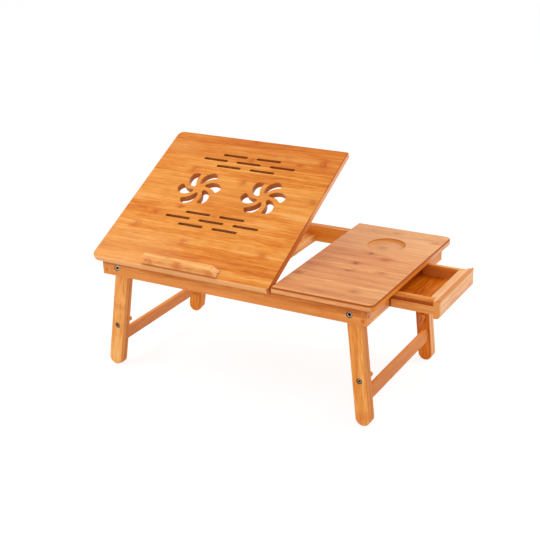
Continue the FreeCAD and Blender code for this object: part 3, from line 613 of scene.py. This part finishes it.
def tilting_stains(tree, grain, edges):
    """Cane tones, and painted light and shade on vents, front edge, left corner, right end and bar
    foot.
    """
    x, y, _ = axes(tree, grain)
    fans, slots = vent_masks(tree, x, y, edges["Wall"])
    # A painted shadow of the stop bar lies on the board along the bar's foot.
    beside_bar = in_band(tree, x, bar_middle, bar_half + 0.007, 0.010)
    bar_shadow = times(tree, in_band(tree, y, bar_foot_y, 0.0045, 0.0040), beside_bar)
    # Painted light: the left front of the board is painted paler.
    lit_left_corner = times(tree, fade(tree, x, -0.060, -0.170), fade(tree, y, 0.100, 0.040))
    # The right end's wall is painted pale as a painted reflection, and towards the front its wall
    # and rounding are painted dark as painted shade.
    right = fade(tree, x, tilt_right - 0.006, tilt_right - 0.003)
    nearer = fade(tree, y, 0.195, 0.120)
    end_wall = times(tree, edges["Wall"], right)
    end_edge = times(tree, edges["Rounded"], times(tree, right, nearer))
    return [
        (fade(tree, y, 0.2660, 0.2674), 0.35, (0.60, 0.135, 0.006)),
        (in_band(tree, y, 0.1930, 0.0320, 0.0010), 0.30, (0.86, 0.37, 0.07)),
        (lit_left_corner, 0.40, (0.88, 0.40, 0.12)),
        # The front wall and rounding are painted pale: a painted highlight.
        (fade(tree, y, -0.0045, -0.0065), 0.70, lit_front_edge),
        # Painted reflection, then painted shade, on the right end.
        (end_wall, 0.70, (0.89, 0.45, 0.25)),
        (times(tree, end_wall, nearer), 0.95, (0.55, 0.118, 0.002)),
        (end_edge, 0.90, (0.36, 0.062, 0.001)),
        # The walls of the fans and slots are painted brown: painted shade.
        (fans, 0.80, (0.45, 0.115, 0.015)),
        (slots, 0.90, (0.33, 0.078, 0.001)),
        # The painted shadow under the stop bar.
        (bar_shadow, 0.75, (0.40, 0.095, 0.008)),
    ]


tilting_board = bamboo(
    "bamboo tilting board", tilting_ramp, turn=(tilt_angle, 0, 0), pivot=hinge_line, seed=3.3,
    marks=tilting_marks, own_marks=0.3, edge=0.8, front_edge=lit_front_edge, ends=0.0,
    stains=tilting_stains, gloss=0.2, coat=0.05,
)
finish(tilting_board, "tilt_top")

# %% [markdown]
# ## The fixed board
#
# This board's ramp is greyer and pinker, a painted sheen, and its knuckles are wine-red. Its back
# is painted paler as painted light and sheen, the wall of its cup recess is painted paler as
# painted light, the cup's rim and the board's outer edge are drawn as a brown line, and its right
# end beside the drawer is painted orange as painted bounce light. A circle about the cup's centre
# keeps the two cuts apart.

# %% Finish: fixed board
board_low, board_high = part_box("fixed_top")
board_top, board_t = board_high.z, board_high.z - board_low.z
cup, cup_r = (0.185, 0.084), 0.034
fixed_marks = (
    (0.173, -0.016, 0.010, 1.0),
    (0.176, 0.035, 0.008, 0.9),
    (0.175, -0.052, 0.005, 0.9),
    (0.231, -0.039, 0.008, 0.2),
    (0.212, 0.018, 0.012, 0.3),
    (0.178, 0.080, 0.009, 0.5),
    (0.178, 0.146, 0.007, 0.5),
    (0.262, 0.126, 0.008, 0.6),
    (0.102, -0.094, 0.008, 0.4),
    (0.222, -0.128, 0.009, 0.4),
)


def cup_stains(tree, grain, edges):
    """Painted light on the back, cup wall and right end, and a brown cup rim and outer edge."""
    x, y, z = axes(tree, grain)
    inside = fade(tree, from_centre(tree, x, y, cup), cup_r + 0.0008, cup_r + 0.0002)
    routed = calculate(tree, "MAXIMUM", edges["Wall"], edges["Rounded"])
    cup_wall = times(tree, routed, inside)
    cup_rim = times(tree, cup_wall, fade(tree, z, board_top - 0.0032, board_top - 0.0008))
    outer = calculate(tree, "SUBTRACT", routed, inside, clamp=True)
    outer_edge = times(tree, outer, fade(tree, z, board_top - 0.0038, board_top - 0.0022))
    end = times(tree, edges["Wall"], fade(tree, x, board_high.x - 0.007, board_high.x - 0.003))
    return [
        # Painted light and sheen: the back of the board is painted paler.
        (fade(tree, y, 0.010, 0.110), 0.28, (0.98, 0.58, 0.28)),
        # The cup's wall is painted paler: painted light in the recess.
        (cup_wall, 0.80, (0.86, 0.39, 0.10)),
        (cup_rim, 0.85, (0.52, 0.16, 0.012)),
        # The right end beside the drawer is painted orange: painted bounce light from the drawer.
        (times(tree, end, fade(tree, y, 0.078, 0.060)), 0.80, (0.78, 0.235, 0.012)),
        (outer_edge, 0.85, (0.38, 0.070, 0.001)),
    ]


fixed_board = bamboo(
    "bamboo fixed board", fixed_ramp, seed=11.7, marks=fixed_marks, own_marks=0.3,
    knuckle=((0.50, 0.135, 0.038), (0.24, 0.035, 0.018)), edge=0.95, ends=0.0, stains=cup_stains,
    gloss=0.12, coat=0.04,
)
finish(fixed_board, "fixed_top")
print("marks set by hand:", len(tilting_marks) + len(fixed_marks))

# %% [markdown]
# ## The stop bar
#
# The bar that stops a laptop from sliding down is cut across several layers, so thin glue lines run
# along it and cross its slanted end. Its pattern is turned with the tilting board and has narrow
# strips.

# %% Finish: stop bar
bar_marks = (
    (-0.150, -0.004, 0.005, 0.2),
    (-0.090, -0.001, 0.004, 0.2),
    (-0.027, -0.004, 0.004, 0.2),
)


def bar_stains(tree, grain, edges):
    """A painted shadow along the bar's foot, and a thin dark line where two layers meet on its end.
    """
    x, y, z = axes(tree, grain)
    painted_foot_shading = fade(tree, z, board_t + 0.0022, board_t + 0.0008)
    layer = calculate(tree, "MULTIPLY_ADD", z, 0.55, y)
    glue_line = in_band(tree, layer, 0.0118, 0.0011, 0.0008)
    end = fade(tree, x, bar_right - 0.005, bar_right - 0.002)
    return [
        # A painted shadow along the foot of the bar.
        (painted_foot_shading, 0.8, (0.34, 0.085, 0.012)),
        (times(tree, glue_line, end), 0.85, (0.25, 0.06, 0.012)),
    ]


stop_bar_finish = bamboo(
    "bamboo stop bar", bar_ramp, turn=(tilt_angle, 0, 0), pivot=hinge_line, strip=0.0062, seed=5.2,
    spacing=0.11, marks=bar_marks, ends=0.12, stains=bar_stains,
)
finish(stop_bar_finish, "stop_bar")

# %% [markdown]
# ## The frame
#
# In the long rails the grain runs along the table and the layers are stacked upwards, so the
# pattern is turned a quarter about X. In the pieces that cross the table it is also turned about Z.
# The tenons that come through the front rail are the ends of such cross pieces, so they show as
# darker end grain. The bolts sit in counterbores that are painted dark as painted shade, and their
# places are the joints about which the legs fold. The front rail is painted darker at its top as
# painted shadow and paler at its foot as painted light, and the back rail's inner face is painted
# brighter as painted light.

# %% Finish: long rails
bolt_hole_r = 0.0056
rail_low, rail_high = (corner.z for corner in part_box("front_rail"))
back_inner_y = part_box("back_rail")[0].y


def seen_from_front(joint):
    """A joint's X and Z."""
    return joints[joint]["pos_m"][0], joints[joint]["pos_m"][2]


sides = ("left", "right")
bolt_spots = [seen_from_front(side + "_leg_fold") for side in sides]
clamp_spots = [seen_from_front(side + "_front_knob_turn") for side in sides]


def dark_holes(tree, spots, radius):
    """Painted shade in each counterbore."""
    x, _, z = surface(tree, "Object")
    return [(in_circle(tree, x, z, spot, radius), 1.0, (0.07, 0.020, 0.006)) for spot in spots]


def rail_stains(tree, grain, edges):
    """Painted light on the foot, a painted shadow along the top under the boards, and the
    counterbores.
    """
    z = surface(tree, "Object")[2]
    # The rail is painted paler at its foot and darker at its top: painted light and painted shadow
    # from the boards above.
    painted_foot_shading = fade(tree, z, rail_high - 0.0100, rail_low + 0.0075)
    top = fade(tree, z, rail_high - 0.0095, rail_high - 0.0035)
    stains = [(painted_foot_shading, 0.45, (0.92, 0.35, 0.085)), (top, 0.85, (0.42, 0.098, 0.012))]
    return stains + dark_holes(tree, bolt_spots, bolt_hole_r)


def back_stains(tree, grain, edges):
    """Painted light on the face that looks into the frame, and the counterbores."""
    inner = fade(tree, surface(tree, "Object")[1], back_inner_y + 0.0008, back_inner_y + 0.0004)
    return [(inner, 0.60, (0.96, 0.36, 0.035))] + dark_holes(tree, bolt_spots, bolt_hole_r)


quarter = math.pi / 2
along_up = (quarter, 0, 0)
rail_strip = 0.0155
front_rail = bamboo(
    "bamboo front rail", rail_ramp, turn=along_up, strip=rail_strip, seed=2.4, ends=-0.3,
    stains=rail_stains, gloss=0.15, coat=0.05,
)
# The back rail takes the paler leg ramp, and its inner face is painted brighter: painted light
# under the tilting board.
back_rail = bamboo(
    "bamboo back rail", leg_ramp, turn=along_up, strip=rail_strip, seed=5.1, ends=0.1,
    stains=back_stains, gloss=0.1, coat=0.05,
)
finish(front_rail, "front_rail")
finish(back_rail, "back_rail", "runner_front", "runner_back")

# %% Finish: cross pieces
across_up = (quarter, 0, quarter)
across_flat = (0, 0, quarter)
cross_rail = bamboo(
    "bamboo cross rails", leg_ramp, turn=across_up, strip=rail_strip, seed=7.4, ends=0.55
)
# The flat cross pieces take the paler bar ramp: painted light under the tilting board.
flat_cross = bamboo(
    "bamboo flat cross pieces", bar_ramp, turn=across_flat, strip=0.019, seed=8.1, gloss=0.15
)
finish(cross_rail, "left_end_rail", "right_stub_front", "right_stub_back", "seam_batten")
finish(flat_cross, "centre_bar", "prop_rack")

# %% [markdown]
# ## The drawer
#
# The inside of the drawer got only one thin coat and is painted deep orange as painted shade and
# orange bounce light, its grooves are painted dark as painted shade, a painted shadow lies on its
# sides where they pass the stubs, and its lip is painted darker as painted shade. Both sides share
# one finish, because the masks use the distance from the middle plane of the table.

# %% Finish: drawer sides
side_low, side_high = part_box("drawer_side_back")
side_in, side_out = side_low.y, side_high.y
groove_z, groove_half, groove_depth = 0.2097, 0.0037, 0.0040
stub_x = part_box("right_stub_front")[1].x


def groove_stains(tree, grain, edges):
    """The outer face, and painted shade in the groove, on the inside and beside the stubs."""
    x, y, z = surface(tree, "Object")
    from_middle = absolute(tree, y)
    floor = side_out - groove_depth
    # The runner's groove is painted dark: painted shade in the recess.
    shaded_groove = in_band(tree, z, groove_z, groove_half, 0.0004)
    shaded_groove = times(tree, shaded_groove, fade(tree, from_middle, floor - 0.00025, floor - 0.00005))
    shaded_groove = times(tree, shaded_groove, fade(tree, from_middle, side_out - 0.00015, side_out - 0.00035))
    outer = fade(tree, from_middle, side_out - 0.00095, side_out - 0.00055)
    # The inner faces are painted deeper: painted shade and orange bounce light inside the drawer.
    inner = fade(tree, from_middle, side_in + 0.00045, side_in + 0.00005)
    return [
        (outer, 0.35, (0.66, 0.165, 0.012)),
        (shaded_groove, 0.8, (0.50, 0.100, 0.010)),
        (inner, 0.65, (0.60, 0.155, 0.016)),
        # A painted shadow on the sides where they pass close to the stubs.
        (in_band(tree, x, stub_x + 0.0005, 0.0035, 0.0025), 0.85, (0.34, 0.040, 0.006)),
    ]


drawer_side = bamboo(
    "bamboo drawer sides", leg_ramp, turn=along_up, strip=0.018, seed=4.7, stains=groove_stains,
    gloss=0.15, coat=0.05,
)
finish(drawer_side, "drawer_side_front", "drawer_side_back")

# %% Finish: drawer fronts and floor
drawer_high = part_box("drawer_front")[1]


def lip_stains(tree, grain, edges):
    """Painted shade in the drawer's lip, and the cut ends of its front."""
    x, _, z = surface(tree, "Object")
    # The lip's hollow is painted darker: painted shade.
    shaded_lip = in_band(tree, x, drawer_high.x - 0.0037, 0.0050, 0.0014)
    shaded_lip = times(tree, shaded_lip, fade(tree, z, drawer_high.z - 0.0053, drawer_high.z - 0.0028))
    return [
        (edges["End"], 0.80, (0.74, 0.265, 0.045)),
        (shaded_lip, 0.85, (0.68, 0.205, 0.016)),
    ]


# The drawer fronts take the paler, pinker front ramp: painted light and reflection.
drawer_cross = bamboo(
    "bamboo drawer fronts", front_ramp, turn=across_up, strip=0.03, seed=6.3, ends=0.1,
    stains=lip_stains, gloss=0.2, coat=0.05,
)
# The drawer floor's deep orange is painted shade and orange bounce light.
drawer_floor = bamboo(
    "bamboo drawer floor", inside_ramp, turn=across_flat, strip=0.024, seed=8.6, gloss=0.05,
    coat=0.0,
)
finish(drawer_cross, "drawer_front", "drawer_front_wall", "drawer_back_wall")
finish(drawer_floor, "drawer_bottom")

# %% [markdown]
# ## The legs
#
# The legs lean out at slightly different angles, so each pair has its own pattern that follows its
# lean: a turn about Y brings X along the way in which the leg extends. The left front upper leg
# takes the paler bar ramp as painted light, and on each side the inner strips and the back legs
# take a deeper ramp than the front upper leg as painted shade. The narrow sides are deeper than the
# faces, and a dark line shows where two strips meet.

# %% Finish: legs
clamp_hole_r = 0.0052
seam_y = -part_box("left_front_upper_leg")[1].y
foot_mark = (0.1905, -0.1407, 0.0065, 0.3)


def along_leg(side):
    """The turn that brings X down along one side's legs."""
    way = joints[side + "_leg_extension"]["axis"]
    return (0, quarter + math.atan2(way[0], way[2]), 0)


def leg_stains(narrow_sides, pale_backs):
    """The narrow sides, the line where two strips meet and the screw holes."""
    def stains(tree, grain, edges):
        y = surface(tree, "Object")[1]
        narrow = minus(tree, 1.0, edges["Wall"])
        seam = in_band(tree, absolute(tree, y), seam_y, 0.0011, 0.0008)
        return [
            (narrow, narrow_sides, (0.72, 0.235, 0.030)),
            (times(tree, narrow, fade(tree, y, 0.0, 0.01)), pale_backs, (0.93, 0.47, 0.20)),
            (times(tree, seam, narrow), 0.80, (0.26, 0.055, 0.004)),
        ] + dark_holes(tree, clamp_spots, clamp_hole_r)

    return stains


def leg_bamboo(name, side, ramp, seed, narrow_sides=0.6, pale_backs=0.0, ends=0.2, marks=()):
    return bamboo(
        name, ramp, turn=along_leg(side), pivot=joints[side + "_leg_fold"]["pos_m"], strip=0.0093,
        seed=seed, spacing=0.19, marks=marks, own_marks=0.3, ends=ends,
        stains=leg_stains(narrow_sides, pale_backs), gloss=0.15, coat=0.05,
    )


# Painted light and shade: the left front upper leg is paler, and the inner pieces are deeper.
left_leg = leg_bamboo("bamboo left legs", "left", bar_ramp, 1.9, ends=0.15)
left_strip = leg_bamboo("bamboo left inner strips", "left", tilting_ramp, 4.4, narrow_sides=0.3)
right_leg = leg_bamboo("bamboo right legs", "right", leg_ramp, 9.6, ends=0.15, marks=(foot_mark,))
right_strip = leg_bamboo("bamboo right inner strips", "right", inside_ramp, 7.7, pale_backs=0.7)
inner_pieces = ("_back_upper_leg", "_front_lower_leg", "_back_lower_leg")
for side, outer, inner in (("left", left_leg, left_strip), ("right", right_leg, right_strip)):
    finish(outer, side + "_front_upper_leg")
    finish(inner, *(side + piece for piece in inner_pieces))

# %% [markdown]
# ## Crossbars and knobs
#
# A crossbar is a flat strip whose top is painted paler, a painted highlight, and whose broad sides
# are drawn a deeper orange. The knobs are small blocks whose face is drawn darker than their sides.
# Both differences follow the way a face looks, so they are read from the surface normal.

# %% Finish: crossbars and knobs
def crossbar_stains(tree, grain, edges):
    x, _, z = surface(tree, "Normal")
    broad_side = fade(tree, absolute(tree, x), 0.6, 0.9)
    # The top is painted paler: a painted highlight.
    top = fade(tree, z, 0.6, 0.9)
    return [(broad_side, 0.60, (0.62, 0.170, 0.026)), (top, 0.50, (0.91, 0.38, 0.075))]


def knob_stains(tree, grain, edges):
    face = fade(tree, absolute(tree, surface(tree, "Normal")[1]), 0.7, 0.9)
    return [(face, 0.6, (0.36, 0.10, 0.025))]


crossbar = bamboo(
    "bamboo crossbars", leg_ramp, turn=across_up, strip=0.012, seed=5.9, spacing=0.12,
    own_marks=0.4, stains=crossbar_stains, gloss=0.15, coat=0.05,
)
knob_finish = bamboo(
    "bamboo knobs", leg_ramp, turn=(0, quarter, 0), strip=0.0045, seed=3.1, spacing=0.05,
    own_marks=0.2, ends=0.0, stains=knob_stains,
)
for side in sides:
    finish(crossbar, side + "_crossbar")
    finish(knob_finish, side + "_front_knob", side + "_back_knob")

# %% [markdown]
# ## Dowels and pins
#
# Where a dowel or a pin ends at a face, its end grain shows: dark dots, which are the cut fibres.
# A Voronoi texture gives one dot to each cell.

# %% Finish: dowel ends
def end_grain(name, light, dark):
    material, tree, shader, place = start_material(name)
    packed = {"Vector": place.outputs["Object"], "Scale": 1400.0}
    cells = add_node(tree, "TexVoronoi", packed)
    dots = fade(tree, cells.outputs["Distance"], 0.45, 0.2)
    color = mix_colors(tree, dots, (*light, 1.0), (*dark, 1.0))
    relief = bump(tree, dots, 0.3, 0.0001)
    give(tree, shader, {"Base Color": color, "Normal": relief, "Roughness": 0.55})
    return material


dowel_ends = end_grain("bamboo end grain", (0.22, 0.055, 0.018), (0.10, 0.025, 0.010))
finish(dowel_ends, "corner_pins", "bar_dowels")

# %% [markdown]
# ## Steel
#
# The bolts, hinges and stay are plated steel. Turned parts carry fine rings and wire carries fine
# lengthwise scratches, but both are so small that stretched noise in the roughness and in a faint
# bump is enough. The bolts also get a thread, drawn as a bump where the shank comes out inside the
# frame, brown grime on their heads, and hexagon sockets painted black as painted shade, which keeps
# them from shining.

# %% Function: steel
shank_end_y = 0.1360


def thread_ridges(tree, y, pitch):
    """The turns of a thread along Y, where the shank comes out inside the frame."""
    turns = calculate(tree, "DIVIDE", calculate(tree, "PINGPONG", y, pitch / 2), pitch / 2)
    shank = fade(tree, absolute(tree, y), shank_end_y + 0.0005, shank_end_y)
    return times(tree, turns, shank)


def steel(name, color, rough, scratch_scale, thread=0.0, sockets=(), socket_r=0.0, grime=0.0):
    """Plated steel with scratches, dull spots, grime and, on bolts, a thread and sockets in painted
    shade.
    """
    material, tree, shader, place = start_material(name)
    here = place.outputs["Object"]
    x, y, z = axes(tree, here)
    stretched = add_node(tree, "Mapping", {"Vector": here, "Scale": scratch_scale})
    scratches = noise(tree, stretched.outputs["Vector"], 1.0, 4.0)
    dull = noise(tree, here, 160.0, 3.0)
    grimy = fade(tree, noise(tree, here, 330.0, 2.0), 0.44, 0.58)
    layers = [
        (fade(tree, dull, 0.35, 0.7), 1.0, [value * 0.8 for value in color]),
        (grimy, grime, (0.10, 0.05, 0.022)),
    ]
    # Each socket is painted near black: painted shade.
    for spot in sockets:
        layers.append((in_circle(tree, x, z, spot, socket_r), 1.0, (0.012, 0.008, 0.005)))
    ridges = [(thread_ridges(tree, y, thread), 3.0)] if thread else []
    looks = {
        "Base Color": lay_stains(tree, (*color, 1.0), layers),
        "Roughness": add_up(tree, rough, [(times(tree, scratches, dull), 0.5)]),
        "Metallic": 1.0,
        "Normal": bump(tree, add_up(tree, scratches, ridges), 0.25, 0.0002),
    }
    give(tree, shader, looks)
    return material


# %% Finish: steel
turned = (900.0, 120.0, 900.0)
bolt_steel = steel(
    "plated bolts", (0.74, 0.67, 0.56), 0.2, turned, thread=0.001, sockets=bolt_spots,
    socket_r=0.0030, grime=0.6,
)
clamp_steel = steel(
    "plated clamp screws", (0.46, 0.33, 0.23), 0.3, turned, sockets=clamp_spots,
    socket_r=0.0020, grime=0.6,
)
hinge_steel = steel("plated hinges", (0.74, 0.72, 0.68), 0.26, (60.0, 900.0, 900.0))
stay_steel = steel("plated wire", (0.72, 0.71, 0.70), 0.22, (900.0, 60.0, 60.0))
screw_steel = steel("zinc screws", (0.75, 0.72, 0.62), 0.24, (700.0, 700.0, 700.0))
finish(bolt_steel, "pivot_bolts", "pivot_washers", "pivot_nuts")
finish(clamp_steel, "left_clamp_screws", "right_clamp_screws")
finish(hinge_steel, "hinge_rail_leaves", "hinge_board_leaves", "hinge_pins")
finish(stay_steel, "wire_stay", "stay_clips")

# %% [markdown]
# ## Wood screws
#
# The screws under the boards are too small for the CAD model to show more than a head and a shank.
# Each kind is modelled once as by hand: a disc is the head's face, and it is extruded and scaled
# ring by ring down the head, the threads and the point. A cross-shaped punch, made from a cube
# whose four sides are extruded, is then cut out of the head. Copies go where the CAD screws sit.

# %% Turn a screw
def extrude_ring(step, scale):
    """Extrude the selected face along Z and scale the new ring."""
    bpy.ops.mesh.extrude_region_move(TRANSFORM_OT_translate={"value": (0, 0, step)})
    bpy.ops.transform.resize(value=(scale, scale, 1.0), center_override=(0, 0, 0))


def turn_screw(profile):
    """A closed turned body from (height, radius) pairs, first one the head's face."""
    height, radius = profile[0]
    disc = {"vertices": 20, "radius": radius, "fill_type": "NGON"}
    bpy.ops.mesh.primitive_circle_add(location=(0, 0, height), **disc)
    body = bpy.context.object
    bpy.ops.object.transform_apply()
    bpy.ops.object.mode_set(mode="EDIT")
    bpy.ops.mesh.select_all(action="SELECT")
    for next_height, next_radius in profile[1:]:
        extrude_ring(next_height - height, next_radius / radius)
        height, radius = next_height, next_radius
    bpy.ops.mesh.select_all(action="SELECT")
    bpy.ops.mesh.normals_make_consistent(inside=False)
    bpy.ops.object.mode_set(mode="OBJECT")
    return body


def thread_profile(start, end, shank_r, pitch):
    """Ridges from start to end, then a short point."""
    rings = []
    root_r = shank_r * 0.74
    count = int((end - shank_r * 1.6 - start) / pitch)
    for ridge in range(count):
        low = start + ridge * pitch
        rings += [(low + pitch * 0.25, root_r), (low + pitch * 0.6, root_r)]
        rings += [(low + pitch * 0.9, shank_r)]
    return rings + [(end - shank_r, shank_r * 0.7), (end, shank_r * 0.12)]


# %% Cut the cross recess
def cross_punch(reach, width, depth, top):
    """A plus-shaped punch that narrows downwards."""
    bpy.ops.mesh.primitive_cube_add(size=width, location=(0, 0, top))
    punch = bpy.context.object
    bpy.ops.object.transform_apply()
    bpy.context.tool_settings.mesh_select_mode = (False, False, True)
    for face in punch.data.polygons:
        face.select = abs(face.normal.z) < 0.5
    bpy.ops.object.mode_set(mode="EDIT")
    bpy.ops.mesh.extrude_faces_move(
        TRANSFORM_OT_shrink_fatten={"value": reach - width / 2, "use_even_offset": False}
    )
    bpy.ops.object.mode_set(mode="OBJECT")
    for vertex in punch.data.vertices:
        vertex.select = vertex.co.z > top
    bpy.context.tool_settings.mesh_select_mode = (True, False, False)
    bpy.ops.object.mode_set(mode="EDIT")
    bpy.ops.transform.resize(value=(0.45, 0.45, 1.0), center_override=(0, 0, top))
    bpy.ops.transform.translate(value=(0, 0, depth - width / 2))
    bpy.ops.object.mode_set(mode="OBJECT")
    return punch


def cut_recess(body, punch):
    cut = body.modifiers.new("cross recess", "BOOLEAN")
    cut.object = punch
    bpy.context.view_layer.objects.active = body
    bpy.ops.object.modifier_apply(modifier=cut.name)
    bpy.data.objects.remove(punch)
    bpy.ops.object.select_all(action="DESELECT")
    body.select_set(True)
    bpy.ops.object.shade_smooth_by_angle(angle=math.radians(35))
    print(body.name, "faces:", len(body.data.polygons))


# %% Two kinds of screw
def flat_screw(name, shank_r, head_r, length, pitch):
    """Its countersunk head lies flush; Z points into the wood."""
    neck = head_r - shank_r
    profile = [(0.0, head_r), (neck, shank_r)] + thread_profile(neck, length, shank_r, pitch)
    body = turn_screw(profile)
    body.name = name
    cut_recess(body, cross_punch(head_r * 0.55, head_r * 0.22, head_r * 0.55, 0.0))
    return body


def round_screw(name, shank_r, head_r, head_h, length, pitch):
    """Its domed head stands on the wood."""
    dome = [(-head_h, head_r * 0.55), (-head_h * 0.82, head_r * 0.82), (-head_h * 0.4, head_r)]
    profile = dome + [(0.0, head_r), (0.00001, shank_r)]
    body = turn_screw(profile + thread_profile(0.001, length, shank_r, pitch))
    body.name = name
    cut_recess(body, cross_punch(head_r * 0.5, head_r * 0.2, head_h * 0.6, -head_h))
    return body


small = {"shank_r": 0.0012, "head_r": 0.0023, "pitch": 0.0011}
large = {"shank_r": 0.00175, "head_r": 0.0036, "pitch": 0.0016}
rack_head_h = 0.0023
small_flat = flat_screw("hinge screw", length=0.008, **small)
large_flat = flat_screw("board screw", length=0.019, **large)
drawer_flat = flat_screw("drawer screw", length=0.0178, **large)
small_round = round_screw("clip screw", head_h=0.0014, length=0.007, **small)
large_round = round_screw("rack screw", head_h=rack_head_h, length=0.0161, **large)

# %% [markdown]
# ## Where the screws go
#
# The places are the CAD model's, in metres, and most are worked out from the boxes of the pieces
# that the screws hold. A hinge has one screw on each side of its middle, in each leaf. The places
# in the tilting board are those of the board lying flat.

# %% Places of the screws
board_bottom = board_low.z
pins_low, pins_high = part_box("hinge_pins")
hinge_half = 0.020
hinge_xs = (pins_low.x + hinge_half, pins_high.x - hinge_half)
hinge_screw_y = -0.1545
leaf_spots = [(x + way * 0.012, hinge_screw_y) for x in hinge_xs for way in (-1, 1)]
under_leaf = [(x, y, board_bottom - 0.0001) for x, y in leaf_spots]
over_leaf = [(x, y, board_bottom + 0.0001) for x, y in leaf_spots]

stay_pivot_y, clip_x, clip_half = -0.0322, 0.017, 0.0062
clip_spots = [
    (side * clip_x, stay_pivot_y + way * clip_half, board_bottom - 0.001)
    for side in (-1, 1)
    for way in (-1, 1)
]
rack_low, rack_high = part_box("rack_screws")
rack_head_r, rack_z = large["head_r"], rack_low.z + rack_head_h
rack_spots = [
    (rack_high.x - rack_head_r, rack_low.y + rack_head_r, rack_z),
    (rack_low.x + rack_head_r, rack_high.y - rack_head_r, rack_z),
]
stop_spots = [(bar_middle + way * 0.049, -0.157, board_bottom) for way in (-1, 1)]
wall_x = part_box("drawer_front_wall")[0].x
drawer_spots = [(wall_x, y, 0.207) for y in (-0.040, 0.040)]
print("hinges at X", [round(x, 3) for x in hinge_xs])

# %% [markdown]
# ## Putting the screws in
#
# Each group of screws becomes one piece. A screw's copies are laid along the way it is driven,
# their places are applied to their meshes, and they are joined. Those in the tilting board are
# swung up about its hinge line, as the board is. The piece replaces the plain CAD screws and rides
# on the same body.

# %% Put the screws in
swing = Matrix.Translation(hinge_line) @ Matrix.Rotation(tilt_angle, 4, "X")
swing = swing @ Matrix.Translation(-Vector(hinge_line))
upwards = level = Matrix.Identity(4)
downwards = Matrix.Rotation(math.pi, 4, "X")
outwards = Matrix.Rotation(quarter, 4, "Y")


def drive(model, node, body, spots, way, board=level):
    """Copy a screw to its spots and join the copies into one piece."""
    copies = []
    for spot in spots:
        copy = model.copy()
        copy.data = model.data.copy()
        copy.data.transform(board @ Matrix.Translation(spot) @ way)
        bpy.context.collection.objects.link(copy)
        copies.append(copy)
    bpy.ops.object.select_all(action="DESELECT")
    for copy in copies:
        copy.select_set(True)
    bpy.context.view_layer.objects.active = copies[0]
    bpy.ops.object.join()
    piece = copies[0]
    piece.name = node + "_cross_head"
    piece.data.materials.append(screw_steel)
    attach(piece, body)
    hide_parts(node)
    print(piece.name, "holds", len(spots), "screws")


drive(small_flat, "hinge_rail_screws", "frame", under_leaf, downwards)
drive(small_flat, "hinge_board_screws", "tilting_board", over_leaf, upwards, board=swing)
drive(small_round, "stay_clip_screws", "tilting_board", clip_spots, upwards, board=swing)
drive(large_round, "rack_screws", "frame", rack_spots, upwards)
drive(large_flat, "stop_bar_screws", "tilting_board", stop_spots, upwards, board=swing)
drive(drawer_flat, "drawer_screws", "drawer", drawer_spots, outwards)
for model in (small_flat, large_flat, drawer_flat, small_round, large_round):
    bpy.data.objects.remove(model)

# %% [markdown]
# ## Studio
#
# The floor is pale and the background pure white. The floor answers the camera with its own white
# plus a little of the light that falls on it, so it is white where it is lit and keeps a soft
# shadow, and it answers the table's bounced light as plain white paint.

# %% Floor
floor_side = 24.0


def seen_directly(tree):
    """1 for rays from the camera and for those that mirror or glass sends on."""
    path = add_node(tree, "LightPath").outputs
    mirror = calculate(tree, "MAXIMUM", path["Is Glossy Ray"], path["Is Transmission Ray"])
    return calculate(tree, "MAXIMUM", path["Is Camera Ray"], mirror)


def matt(tree, grey):
    return add_node(tree, "BsdfDiffuse", {"Color": (grey, grey, grey, 1)}).outputs[0]


def lay_floor(glow, paint, faint):
    bpy.ops.mesh.primitive_plane_add(size=floor_side, location=(0, 0, 0))
    floor = bpy.context.object
    floor.name = "floor"
    material, tree, shader, place = start_material("white floor")
    tree.nodes.remove(shader)
    white = add_node(tree, "Emission", {"Color": (1, 1, 1, 1), "Strength": glow})
    lit = {0: matt(tree, faint), 1: white.outputs[0]}
    both = add_node(tree, "AddShader", lit)
    parts = {0: seen_directly(tree), 1: matt(tree, paint), 2: both.outputs[0]}
    pick = add_node(tree, "MixShader", parts)
    tree.links.new(pick.outputs[0], tree.nodes["Material Output"].inputs["Surface"])
    floor.data.materials.append(material)
    print(floor.name, "is", floor_side, "m wide")


lay_floor(glow=0.82, paint=0.82, faint=0.26)

# %% World
def light_world(strength):
    """White to the camera, and dimmer where it lights the table."""
    world = bpy.data.worlds.new("white studio")
    world.use_nodes = True
    bpy.context.scene.world = world
    tree = world.node_tree
    back = tree.nodes["Background"]
    level = calculate(tree, "MULTIPLY_ADD", seen_directly(tree), 1.0 - strength, strength)
    give(tree, back, {"Color": (1, 1, 1, 1), "Strength": level})
    print(world.name, "has strength", strength)


light_world(0.66)

# %% [markdown]
# ## Lamps
#
# The light is nearly even. A lamp above the left front is near enough for the boards to be lighter
# on that side, one at the back right opens the faces that look to the drawer's side, and two low
# ones in front light the rails, the legs and the space between the boards.

# %% Lamps
def add_lamp(name, location, size, power):
    bpy.ops.object.light_add(type="AREA", location=location)
    lamp = bpy.context.object
    lamp.name = name
    lamp.data.size = size
    lamp.data.energy = power
    way = look_at - lamp.location
    lamp.rotation_euler = way.to_track_quat("-Z", "Y").to_euler()
    print(name, "stands", round(way.length, 2), "m away")


add_lamp("left lamp", (-1.0, -0.7, 1.35), size=0.9, power=7.0)
add_lamp("right lamp", (1.5, 1.2, 1.6), size=1.4, power=20.0)
add_lamp("front left lamp", (-1.4, -1.9, 0.6), size=1.1, power=7.0)
add_lamp("front right lamp", (0.9, -1.9, 0.9), size=1.1, power=5.0)
